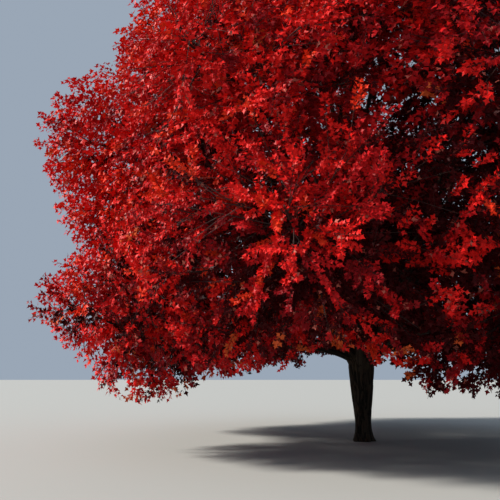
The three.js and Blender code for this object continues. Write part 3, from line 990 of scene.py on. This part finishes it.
# %% Clearance from the wood
LIMB_SHARES = np.linspace(0, 1, 60)
LIMB_POINTS = np.concatenate([bough.path.at(LIMB_SHARES) for bough in boughs])
LIMB_RADII = np.concatenate([bough.radius_at(LIMB_SHARES) for bough in boughs])
LIMB_OWNER = np.repeat(np.arange(len(boughs)), len(LIMB_SHARES))
BLOCK = 1000  # points measured at a time, to spare memory
STEEP = 0.95  # a direction that rises this much is as good as upright
print("points along the limbs:", len(LIMB_POINTS))


def room_at(points, skip=None):
    """The distance from each point to the nearest limb's skin."""
    ours = np.ones(len(LIMB_OWNER), bool) if skip is None else LIMB_OWNER != skip
    nearest = []
    for some in np.array_split(points, len(points) // BLOCK + 1):
        apart = np.linalg.norm(some[:, None, :] - LIMB_POINTS[ours], axis=2) - LIMB_RADII[ours]
        nearest.append(apart.min(axis=1))
    return np.concatenate(nearest)


def around(along, angle):
    """A direction square to a twig, turned round it by an angle."""
    side = unit(np.cross(along, EAST if abs(along[2]) > STEEP else UP))
    lift = unit(np.cross(along, side))
    return side * math.cos(angle) + lift * math.sin(angle)


# %% Lines of stems and twigs
THIRD = 2 * math.pi / 3  # of a full turn
BOW = 0.45  # how far towards its tip a twig is drawn along the direction that it leaves in
PROBES = 12  # places on a new twig where its clearance is measured


def bowed(start, leaving, tip, points=7):
    """A line from start to tip that leaves along a direction of its own."""
    t = np.linspace(0, 1, points)[:, None]
    middle = start + leaving * np.linalg.norm(tip - start) * BOW
    return start * (1 - t) ** 2 + middle * 2 * t * (1 - t) + tip * t**2


def thinning(radius, end, points):
    return radius * (1 - np.linspace(0, 1, points) * (1 - end))


def straight(foot, tip, first=0.0):
    return foot + (tip - foot) * np.linspace(first, 1, PROBES)[:, None]


# %% Stems and main twigs, by the solids' rule
def grow_stem(k, mass, draw):
    bough = boughs[k]
    lobe = bough.lobe
    foot = bough.path.at(1.0) + bough.arrive * GAP
    goal = lobe.middle + bough.out * lobe.size * STEM.beyond
    way = unit(goal - foot)
    reach = min(reach_from(mass, foot, way) - TIP_SHORT, lobe.size * STEM.longest)
    roll = draw() * math.pi
    for share in STEM_SHARES:
        tip = foot + way * reach * share
        if room_at(straight(foot, tip), skip=k).min() > LIMB_CLEARANCE + STEM.radius:
            break
    return SimpleNamespace(foot=foot, tip=tip, along=way, roll=roll, length=reach * share,
                           line=bowed(foot, bough.arrive, tip), radius=STEM.radius, end=STEM.end)


def grow_twigs(mass, stem, draw):
    lobe = lobes[mass]
    grown = []
    for n in range(TWIG.count):
        share = n / (TWIG.count - 1)
        at = TWIG.first + (TWIG.last - TWIG.first) * share
        foot = stem.foot + (stem.tip - stem.foot) * at
        lean = math.radians(LEAN.first + (LEAN.last - LEAN.first) * share + (draw() * 2 - 1) * LEAN.stray)
        normal = around(stem.along, stem.roll + (n % 3 + 0.5) * THIRD)
        way = normal * math.sin(lean) + stem.along * math.cos(lean)
        reach = reach_from(mass, foot, way) - TIP_SHORT
        draw()  # the solids turn their spray here
        if reach < TWIG.least:
            continue
        tip = foot + way * reach
        if room_at(straight(foot, tip, first=0.1)).min() < LIMB_CLEARANCE:
            continue
        radius = min(TWIG.radius, stem.radius * (1 - at * (1 - stem.end)) * TWIG.share)
        grown.append(SimpleNamespace(foot=foot, tip=tip, along=way, length=reach, radius=radius,
                                     line=bowed(foot, unit(way + TWIG_RISE * UP), tip), end=TWIG.end))
    return grown


# %% Empty spots for the finer twigs
def point_on(line, share):
    place = share * (len(line) - 1)
    low = min(int(place), len(line) - 2)
    return line[low] + (line[low + 1] - line[low]) * (place - low)


def room_spots(k, chance):
    """Random spots in a lobe's room, fewer deep in the shade and none in the gaps of the skin."""
    reach = np.sqrt(LOBE_SIZES[k] ** 2 + FULLNESS.growth) / STRETCH
    spots = MIDDLES[k] + chance.uniform(-1, 1, (SPOTS, 3)) * reach
    spots = spots[in_space(k, spots)]
    shade = shade_over(spots)
    alive = chance.random(len(spots)) < along_line(shade, ALIVE_BY_SHADE)
    alive &= ~in_gap(spots, shade)
    return spots[alive], along_line(shade[alive], SPACE_BY_SHADE)


def empty_room(k, found, kind, tips):
    """The spots that one kind of twig may end at, and how far each is from the tips that are there."""
    spots, spacing = found
    drawn_in = MIDDLES[k] + (spots - MIDDLES[k]) * (1 - kind.short / LOBE_SIZES[k])
    vacancy = np.linalg.norm(drawn_in[:, None, :] - np.array(tips), axis=2).min(axis=1)
    return SimpleNamespace(spots=drawn_in, space=kind.space * spacing, vacancy=vacancy)


# %% Finer twigs, by the same rule carried on
def grow_finer(parent, kind, room):
    """Finer twigs leave a parent one by one, each for the emptiest spot that it can reach."""
    grown = []
    count = max(round(parent.length * (1 - kind.first) / kind.stride), 1) + 1
    for at in np.linspace(kind.first, 1, count):
        foot = point_on(parent.line, at)
        apart = room.spots - foot
        reach = np.linalg.norm(apart, axis=1)
        ways = apart / reach[:, None]
        widest = math.cos(math.radians(np.interp(at, (0, 1), kind.lean)))
        usable = (reach < kind.length) & (reach > kind.length * SHORTEST) & (ways @ parent.along > widest)
        facing = outward(foot)
        appeal = np.where(usable & (room.vacancy > room.space), room.vacancy / room.space, 0)
        appeal *= 1 - kind.flat * np.abs(ways @ facing)
        pick = appeal.argmax()
        if appeal[pick] == 0:
            continue
        tip = room.spots[pick]
        leaving = unit(ways[pick] + SWEEP_BACK.forward * parent.along - SWEEP_BACK.down * facing)
        thick = min(1, THINNEST + (1 - THINNEST) * reach[pick] / kind.length)
        grown.append(SimpleNamespace(foot=foot, tip=tip, along=ways[pick], length=reach[pick],
                                     radius=kind.radius * thick, line=bowed(foot, leaving, tip, 3),
                                     end=kind.end))
        room.vacancy = np.minimum(room.vacancy, np.linalg.norm(room.spots - tip, axis=1))
    return grown


# %% [markdown]
# ## What the photograph's view asks of the leaves
#
# So that fewer leaves fill the crown, they are a little larger than life in the light and much larger
# in the shade. Where the camera is nearest, that would show, so there the shoots stand closer and their
# leaves are about as small as real ones. The photograph also shows sky through the crown in a few
# places, and leaves in those narrow views are left out.

# %% The camera's place and the openings that it sees
CAMERA = SimpleNamespace(place=np.array((-2.95, -14.7, 1.6)), pitch=13.4, focal=536.0, frame=500)
SKY_OPENINGS = [  # pixel column, pixel row and half width in the photograph
    (377, 63, 6), (396, 58, 6), (411, 66, 6), (498, 50, 5), (315, 178, 5), (268, 213, 5),
]
FINE_LEAVES = SimpleNamespace(distance=14.0, least=0.66)
print("openings with sky in them:", len(SKY_OPENINGS))


def seen_at(points):
    """Where the camera sees points, in pixels of the photograph."""
    turn = math.radians(CAMERA.pitch)
    apart = points - CAMERA.place
    depth = apart[:, 1] * math.cos(turn) + apart[:, 2] * math.sin(turn)
    rise = -apart[:, 1] * math.sin(turn) + apart[:, 2] * math.cos(turn)
    offset = CAMERA.focal * np.stack((apart[:, 0] / depth, -rise / depth), axis=1)
    return CAMERA.frame / 2 + offset


def in_opening(points):
    columns, rows = seen_at(points).T
    hit = np.zeros(len(points), bool)
    for column, row, half in SKY_OPENINGS:
        hit |= np.hypot(columns - column, rows - row) < half
    return hit


def fineness(lobe):
    """How small the lobe's shoots and leaves are beside the others'."""
    distance = np.linalg.norm(lobe.middle - CAMERA.place)
    return min(max(distance / FINE_LEAVES.distance, FINE_LEAVES.least), 1.0)


def finer_kind(kind, scale):
    return SimpleNamespace(**{**vars(kind), "stride": kind.stride * scale, "space": kind.space * scale})


# %% Grow every mass
def grow_mass(k):
    bough = boughs[k]
    mass = lobes.index(bough.lobe)
    draw = seeded(SEEDS.masses + k)
    chance = np.random.default_rng(SEEDS.fine + k)
    stem = grow_stem(k, mass, draw)
    twigs = [twig for twig in grow_twigs(mass, stem, draw) if foliage_room(twig.tip[None])[0, mass]]
    found = room_spots(mass, chance)
    room = empty_room(mass, found, BETWEEN, [stem.tip, *[twig.tip for twig in twigs]])
    twigs += grow_finer(stem, BETWEEN, room)
    room = empty_room(mass, found, SIDE_TWIG, [stem.foot])
    sides = [side for carrier in [stem, *twigs] for side in grow_finer(carrier, SIDE_TWIG, room)]
    fine = fineness(bough.lobe)
    kind = finer_kind(SHOOT, fine)
    room = empty_room(mass, found, kind, [stem.foot])
    shoots = []
    for n, side in enumerate(sides):
        for shoot in grow_finer(side, kind, room):
            shoot.clump = n
            shoots.append(shoot)
    shades = shade_over(np.array([shoot.tip for shoot in shoots]))
    for shoot, shade in zip(shoots, shades):
        shoot.shade = shade
    return SimpleNamespace(fine=fine, lobe=mass, stem=stem, twigs=twigs, sides=sides, shoots=shoots)


masses = [grow_mass(k) for k in range(len(boughs))]
for kind in ("twigs", "sides", "shoots"):
    counts = [len(getattr(mass, kind)) for mass in masses]
    print(f"{kind}: {sum(counts)} in all, {min(counts)} to {max(counts)} in a mass")


# %% [markdown]
# ## Twigs as one mesh for each level of the crown
#
# Three sides are enough for a shoot as thin as a pencil, and five for a stem and its thicker twigs. All
# of a level's twigs are swept in one go and joined, because thousands of objects would be slow to open
# and to export.

# %% Levels of the crown
LEVELS = {
    "low": ("skirt",),
    "middle": ("side", "inner", "waist"),
    "high": ("shoulder", "crest", "top"),
}
TWIG_SIDES = SimpleNamespace(thick=5, thin=3)


def masses_at(level):
    return [mass for mass in masses if lobes[mass.lobe].tier in LEVELS[level]]


def twig_line(twig):
    return twig.line, thinning(twig.radius, twig.end, len(twig.line))


def shoot_line(shoot):
    ends = shoot.line[[0, -1]]
    return ends, thinning(shoot.radius, shoot.end, 2)


# %% Sweep the twigs
def sweep_lines(name, lines, sides):
    return run_tree(line_object(name, lines), SWEEP, Sides=sides, Material=TWIG_SKIN)


def join_pieces(name, pieces):
    for piece in bpy.context.view_layer.objects:
        piece.select_set(piece in pieces)
    bpy.context.view_layer.objects.active = pieces[0]
    bpy.ops.object.join()
    pieces[0].name = name
    return pieces[0]


def make_twigs(level):
    grown = masses_at(level)
    thick = [twig_line(twig) for mass in grown for twig in [mass.stem, *mass.twigs]]
    middling = [twig_line(twig) for mass in grown for twig in mass.sides]
    thin = [shoot_line(shoot) for mass in grown for shoot in mass.shoots]
    return join_pieces(f"twigs_{level}", [
        sweep_lines("thick", thick, TWIG_SIDES.thick),
        sweep_lines("middling", middling, TWIG_SIDES.thin),
        sweep_lines("thin", thin, TWIG_SIDES.thin),
    ])


twig_pieces = {level: make_twigs(level) for level in LEVELS}
for piece in twig_pieces.values():
    print(piece.name, triangles(piece), "triangles")


# %% [markdown]
# ## A leaf
#
# A red maple's leaf has three pointed lobes on a long thin stalk. From a few steps away its outline and
# its fold are what the eye takes in, so it needs five faces: one for the stalk and a fan of four that
# meet where the stalk joins. Four leaves with different folds are enough for the whole tree. A flat
# card with a picture would be fewer faces, but it is see-through and flat from the side.

# %% Four leaves
LEAF = SimpleNamespace(stalk=0.4, stalk_width=0.035)
LEAF_OUTLINE = [  # across and along the blade, from corner to corner, the blade's length being 1
    (-0.52, 0.40), (-0.21, 0.54), (0.0, 1.0), (0.21, 0.54), (0.52, 0.40),
]
LEAF_FOLDS = [  # rise of the side lobes, droop of the tip, twist of the blade
    (0.22, -0.12, 0.05),
    (-0.18, -0.18, -0.10),
    (0.34, 0.03, 0.12),
    (-0.30, -0.06, 0.00),
]


def leaf_mesh(name, rise, droop, twist):
    corners = [(-LEAF.stalk_width, 0, 0), (LEAF.stalk_width, 0, 0), (0, LEAF.stalk, 0)]
    for across, along in LEAF_OUTLINE:
        height = rise * abs(across) + droop * along**2 + twist * across
        corners.append((across, LEAF.stalk + along, height))
    blade = [(2, n + 1, n) for n in range(3, len(corners) - 1)]
    mesh = bpy.data.meshes.new(name)
    mesh.from_pydata(corners, [], [(0, 1, 2), *blade])
    return mesh


leaf_shapes = bpy.data.collections.new("leaf shapes")
for n, folds in enumerate(LEAF_FOLDS):
    leaf = bpy.data.objects.new(f"leaf_{n}", leaf_mesh(f"leaf_{n}", *folds))
    leaf_shapes.objects.link(leaf)


# %% [markdown]
# ## Where the leaves sit
#
# Maple leaves grow in pairs along a shoot, each pair crosswise to the last, with one leaf at the tip.
# Each leaf turns its upper side to the light, away from the heart of the crown, and its tip hangs a
# little. Leaves in the shade are fewer and larger, as they are on a real tree. The leaves of one shoot
# make one spray and share one tint, but for a few that turn their pale backs.

# %% Sizes of the leaves and their pairs
LEAF_SIZE = SimpleNamespace(sun=0.108, shade=0.26, deep=2.6, uneven=0.25)
PAIR_STRIDE = SimpleNamespace(sun=0.074, shade=0.16)
PAIR_START = 0.7  # the share of its stride that the first pair stands out from the foot
SPREAD_OUT = 0.95  # how far a pair's leaves turn aside from their shoot
STRAY_WAY = 0.5  # how far a leaf strays from its pair's way
HANG = 0.35  # how far its tip hangs
TUMBLE = 0.5  # how unevenly leaves face the light
PALE_SHARE = 0.02  # the share of leaves that turn their pale backs
print("blades of", LEAF_SIZE.sun, "m in the light and", LEAF_SIZE.shade, "m in the shade")


def by_shade(shade, sun, deep):
    return np.interp(shade, (0, LEAF_SIZE.deep), (sun, deep))


# %% Sites of the leaves
def pairs_on(shoot, fine):
    stride = by_shade(shoot.shade, PAIR_STRIDE.sun * fine**2, PAIR_STRIDE.shade * fine**3)
    return max(round(shoot.length / stride), 1)


def shoot_rows(shoot, pairs):
    """For each leaf of a shoot its foot, its way, its shade and its tint."""
    side = unit(np.cross(shoot.along, outward(shoot.tip)))
    lift = np.cross(side, shoot.along)
    rows = []
    for n in range(pairs):
        foot = shoot.foot + (shoot.tip - shoot.foot) * (n + PAIR_START) / pairs
        across = lift if n % 2 else side
        for turn in (-1, 1):
            rows.append((foot, shoot.along + across * turn * SPREAD_OUT, shoot.shade, shoot.tint))
    return [*rows, (shoot.tip, shoot.along, shoot.shade, shoot.tint)]


def leaf_sites(mass, chance):
    rows = [row for shoot in mass.shoots for row in shoot_rows(shoot, pairs_on(shoot, mass.fine))]
    foot, heading, shade, tint = (np.array(column) for column in zip(*rows))
    heading = unit(heading + chance.uniform(-STRAY_WAY, STRAY_WAY, foot.shape) - UP * HANG)
    facing = outward(foot, RISE.leaves) + chance.normal(0, TUMBLE, foot.shape)
    size = by_shade(shade, LEAF_SIZE.sun * mass.fine, LEAF_SIZE.shade * mass.fine**2)
    size *= 1 + chance.uniform(-LEAF_SIZE.uneven, LEAF_SIZE.uneven, len(size))
    tint[chance.random(len(tint)) < PALE_SHARE] = PALE
    tip = foot + heading * size[:, None] * (1 + LEAF.stalk)
    kept = in_space(mass.lobe, tip) & (room_at(tip) > LIMB_CLEARANCE) & ~in_opening(tip)
    return SimpleNamespace(foot=foot[kept], heading=heading[kept], facing=facing[kept], size=size[kept],
                           tint=tint[kept])


# %% [markdown]
# ## Tints, dealt out by spray
#
# The tree isn't one red. Sunlit leaves are scarlet with a touch of orange, others are crimson, the
# shaded ones are wine dark, a few of the lowest sprays have only turned amber, and here and there a
# single leaf shows its pale back. The reds are partly the leaves' own and partly painted light and shade:
# sprays on the sunny side, open ones and tufts are dealt brighter reds, and those on the far side,
# crowded and deep ones and those in gaps darker ones. On a crown of joined leaves a painted pattern
# would be muddled in the export, so each tint is a plain colour. Each spray draws its tint from a hand
# of cards that depends on the light that falls on it, and sprays of one side twig often share a tint.

# %% Tints
# scarlet, vermilion, crimson, ruby and wine are partly the leaves' own reds and partly painted light and
# shade, dealt lighter or darker by the light on a spray; amber and the pale back are the leaves' own
# colours
TINTS_AND_SHADES = {
    "scarlet": (0.67, 0.012, 0.010),
    "vermilion": (0.71, 0.034, 0.010),
    "crimson": (0.46, 0.008, 0.010),
    "ruby": (0.235, 0.005, 0.008),
    "wine": (0.050, 0.002, 0.003),
    "amber": (0.66, 0.10, 0.025),
    "pale_back": (0.46, 0.11, 0.08),
}
# painted light and shade: a spray with more light draws brighter reds, one with less light darker ones
HANDS = [  # from this much light, how many cards of each of the first five tints
    (0.87, (60, 26, 11, 3, 0)),
    (0.72, (58, 8, 27, 7, 0)),
    (0.58, (26, 2, 38, 25, 9)),
    (0.44, (2, 0, 15, 33, 50)),
    (-1.0, (0, 0, 1, 8, 91)),
]
AMBER = list(TINTS_AND_SHADES).index("amber")
PALE = list(TINTS_AND_SHADES).index("pale_back")
LAST_TO_TURN = SimpleNamespace(below=2.3, low=0.06, high=0.003)  # the share of amber sprays
CLUMP_SHARES_TINT = 0.55  # how often a spray has the tint of its side twig's first spray
SUN = unit(np.array((-0.84, -0.05, 0.56)))
CROWD = SimpleNamespace(near=0.12, far=0.9, aside=0.28)  # sprays here stand in another's light
LIGHT_PARTS = SimpleNamespace(side=0.95, far_side=0.32, open=0.36, shade=0.09, swell=0.26, stray=0.06)
print("tints:", ", ".join(TINTS_AND_SHADES))


# %% Light on a spray
def crowding(tips):
    """Each spray's rank, from 0 to 1, by how many of the mass stand between it and the light."""
    way = unit(outward(tips) + SUN)
    apart = tips - tips[:, None, :]
    ahead = (apart * way[:, None, :]).sum(axis=2)
    aside = np.linalg.norm(apart - ahead[:, :, None] * way[:, None, :], axis=2)
    crowd = ((ahead > CROWD.near) & (ahead < CROWD.far) & (aside < CROWD.aside)).sum(axis=1)
    return crowd.argsort().argsort() / len(tips)


def light_on(mass, chance):
    """Mostly from 0 to 1, by the side of the crown, the room round a spray, the swell and the foliage over
    it. It is painted into the spray's tint as light and shade.
    """
    tips = np.array([shoot.tip for shoot in mass.shoots])
    shade = np.array([shoot.shade for shoot in mass.shoots])
    # painted light and shade: sprays on the sunny side, open ones and tufts get more light and so brighter
    # reds; the far side, crowded and deep sprays and gaps get darker ones
    side = 0.5 + 0.5 * out_of_heart(tips) @ SUN
    light = LIGHT_PARTS.side * np.maximum(side, LIGHT_PARTS.far_side)
    light += LIGHT_PARTS.open * (1 - crowding(tips))
    light += LIGHT_PARTS.swell * tufts(tips) - LIGHT_PARTS.shade * shade
    return light + chance.normal(0, LIGHT_PARTS.stray, len(tips))


# %% Deal the tints and place the leaves
def deal_tints_and_shades(mass, chance):
    """Gives each shoot a tint, picked by the light on it, so that light and shade are painted into its
    colour. Neighbours on one side twig often share it.
    """
    clump_tints = {}
    for shoot, light in zip(mass.shoots, light_on(mass, chance)):
        hand = next(hand for least, hand in HANDS if light > least)
        own = chance.choice(len(hand), p=np.array(hand) / sum(hand))
        clump_tints.setdefault(shoot.clump, own)
        shoot.tint = clump_tints[shoot.clump] if chance.random() < CLUMP_SHARES_TINT else own
        late = LAST_TO_TURN.low if shoot.tip[2] < LAST_TO_TURN.below else LAST_TO_TURN.high
        if chance.random() < late:
            shoot.tint = AMBER


sites = []
for k, mass in enumerate(masses):
    chance = np.random.default_rng(SEEDS.tints + k)
    deal_tints_and_shades(mass, chance)
    sites.append(leaf_sites(mass, chance))
print("leaves:", sum(len(site.size) for site in sites))


# %% [markdown]
# ## Material of the leaves
#
# A maple leaf is thin, smooth and slightly waxy, so it shows soft glints. Each tint is a Principled
# shader with a plain base colour and roughness. A fine noise bumps it, for the veins and the cockled
# blade that break up the glints.

# %% Leaf materials
LEAF_SKIN = SimpleNamespace(veins=38.0, bump=0.45, depth=0.01, roughness=0.4, shine=0.07)


def leaf_material(name, colour):
    material, tree, shader = new_material(f"leaf {name}")
    shader.inputs["Base Color"].default_value = (*colour, 1.0)
    place = add_node(tree, "ShaderNodeTexCoord").outputs["Object"]
    veins = noise(tree, place, LEAF_SKIN.veins, Detail=3.0, Roughness=0.55)
    finish_skin(tree, shader, LEAF_SKIN, veins)
    return material


LEAF_SKINS = [leaf_material(name, colour) for name, colour in TINTS_AND_SHADES.items()]
print("leaf materials:", len(LEAF_SKINS))


# %% [markdown]
# ## Leaves on their sites
#
# Two hundred thousand leaves can't be placed one by one in reasonable time. Each site is a point that
# keeps the leaf's way, the side it faces and its size, and a Geometry Nodes tree puts one of the four
# leaves on every point. Instances would be lighter, but the export drops them, so they're made real.

# %% The tree that hangs leaves on their sites
def leaf_tree():
    tree, group_in, group_out = new_tree("leaves on sites", [
        ("Leaf shapes", "Collection", None),
        ("Scale", "Float", 1.0),
        ("Seed", "Int", 5),
        ("Material", "Material", None),
    ])
    turned = add_node(tree, "FunctionNodeAxesToRotation", {"primary_axis": "Y", "secondary_axis": "Z"},
                      Primary_Axis=kept_at_points(tree, "heading", "FLOAT_VECTOR"),
                      Secondary_Axis=kept_at_points(tree, "facing", "FLOAT_VECTOR"))
    scaled = calculate(tree, "MULTIPLY", kept_at_points(tree, "size"), group_in.outputs["Scale"])
    shapes = add_node(tree, "GeometryNodeCollectionInfo", Separate_Children=True, Reset_Children=True,
                      Collection=group_in.outputs["Leaf shapes"])
    pick = add_node(tree, "FunctionNodeRandomValue", {"data_type": "INT"}, Seed=group_in.outputs["Seed"],
                    _4=0, _5=len(LEAF_FOLDS) - 1)  # the least and the most that it gives
    hung = add_node(tree, "GeometryNodeInstanceOnPoints", Points=group_in.outputs["Geometry"],
                    Instance=shapes.outputs[0], Pick_Instance=True, Instance_Index=pick.outputs[2],
                    Rotation=turned.outputs[0], Scale=scaled)
    finish_tree(tree, hung.outputs[0], group_in.outputs["Material"], group_out)
    return tree


LEAVES = leaf_tree()
print("leaves on sites:", len(LEAVES.nodes), "nodes")


# %% Hang the leaves, one piece for each tint and level of the crown
def hang_leaves(name, foot, heading, facing, size, skin):
    mesh = point_mesh(name, foot)
    set_vectors(mesh, "heading", heading)
    set_vectors(mesh, "facing", facing)
    set_numbers(mesh, "size", size)
    return run_tree(link(name, mesh), LEAVES, Leaf_shapes=leaf_shapes, Scale=1.0, Material=skin)


leaf_pieces = {}
for level, tiers in LEVELS.items():
    ours = [site for site, mass in zip(sites, masses) if lobes[mass.lobe].tier in tiers]
    foot, heading, facing, size, tint = (
        np.concatenate([getattr(site, part) for site in ours])
        for part in ("foot", "heading", "facing", "size", "tint")
    )
    for n, name in enumerate(TINTS_AND_SHADES):
        mine = tint == n
        leaf_pieces[level, name] = hang_leaves(
            f"leaves_{level}_{name}", foot[mine], heading[mine], facing[mine], size[mine], LEAF_SKINS[n])
for piece in leaf_pieces.values():
    print(piece.name, triangles(piece), "triangles")

# %% Put the four leaves away
for leaf in list(leaf_shapes.objects):
    bpy.data.objects.remove(leaf)
bpy.data.collections.remove(leaf_shapes)


# %% [markdown]
# ## The pieces stand for the solids
#
# Every solid of the frame is replaced: the trunk by the fork, the limbs and boughs by the swept ones,
# and each mass of foliage by the twigs and leaves of its level of the crown.

# %% Tie the pieces to the frame
WORKING_NUMBERS = ("along", "round", "girth", "heading", "facing", "size")
pieces = [fork, limbs, *twig_pieces.values(), *leaf_pieces.values()]
for piece in pieces:
    for name in WORKING_NUMBERS:
        attribute = piece.data.attributes.get(name)
        if attribute:
            piece.data.attributes.remove(attribute)
    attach(piece, "root")
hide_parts("trunk")
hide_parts(*[bough.name for bough in boughs])
for level, tiers in LEVELS.items():
    names = [f"foliage_{lobe.name}" for lobe in lobes if lobe.tier in tiers]
    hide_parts(*names)
    for tint in TINTS_AND_SHADES:
        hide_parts(*names)
print("pieces:", len(pieces), "triangles:", sum(triangles(piece) for piece in pieces))


# %% [markdown]
# ## Floor, light and camera
#
# The tree stands on a plain pale floor under a pale sky. One soft lamp comes from the upper left as the
# sun does in the photograph, and the sky fills the shade. The camera stands where the photographer
# stood: at eye height, a little left of the trunk, looking up at the crown.

# %% Floor
FLOOR = SimpleNamespace(reach=400.0, colour=(0.42, 0.42, 0.40, 1.0), roughness=0.95)
floor_corners = [(x * FLOOR.reach, y * FLOOR.reach, 0) for x, y in ((-1, -1), (1, -1), (1, 1), (-1, 1))]
floor_mesh = bpy.data.meshes.new("floor")
floor_mesh.from_pydata(floor_corners, [], [(0, 1, 2, 3)])
floor = link("floor", floor_mesh)
floor_skin, _, floor_shader = new_material("pale floor")
floor_shader.inputs["Base Color"].default_value = FLOOR.colour
floor_shader.inputs["Roughness"].default_value = FLOOR.roughness
floor.data.materials.append(floor_skin)
floor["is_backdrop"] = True
print("floor:", 2 * FLOOR.reach, "m square")

# %% Light
LAMP = SimpleNamespace(strength=5.6, softness=8, colour=(1.0, 0.955, 0.88))
SKY = SimpleNamespace(strength=0.52, colour=(0.62, 0.74, 0.90, 1.0))
lamp = bpy.data.objects.new("key_light", bpy.data.lights.new("key_light", "SUN"))
lamp.data.energy = LAMP.strength
lamp.data.angle = math.radians(LAMP.softness)
lamp.data.color = LAMP.colour
lamp.rotation_mode = "QUATERNION"
lamp.rotation_quaternion = Vector(SUN).to_track_quat("Z", "Y")
bpy.context.scene.collection.objects.link(lamp)
world = bpy.data.worlds.new("pale sky")
world.use_nodes = True
background = world.node_tree.nodes["Background"]
background.inputs["Color"].default_value = SKY.colour
background.inputs["Strength"].default_value = SKY.strength
bpy.context.scene.world = world
bpy.context.scene.view_settings.view_transform = "Standard"
print("strength of the lamp", LAMP.strength, "and of the sky", SKY.strength)

# %% Camera
SENSOR = 36.0
FARTHEST = 1500.0
camera = bpy.data.objects.new("camera", bpy.data.cameras.new("camera"))
camera.data.sensor_width = SENSOR
camera.data.lens = CAMERA.focal / CAMERA.frame * SENSOR
camera.data.clip_end = FARTHEST
camera.location = CAMERA.place
camera.rotation_euler = (math.radians(90 + CAMERA.pitch), 0, 0)
bpy.context.scene.collection.objects.link(camera)
bpy.context.scene.camera = camera
print("camera lens", round(camera.data.lens, 1), "mm")

# %% Measure and finish
low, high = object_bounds()
past = [*(cad_low - low), *(high - cad_high)]
print("grown past the solids' box by", [round(max(far, 0), 3) for far in past])
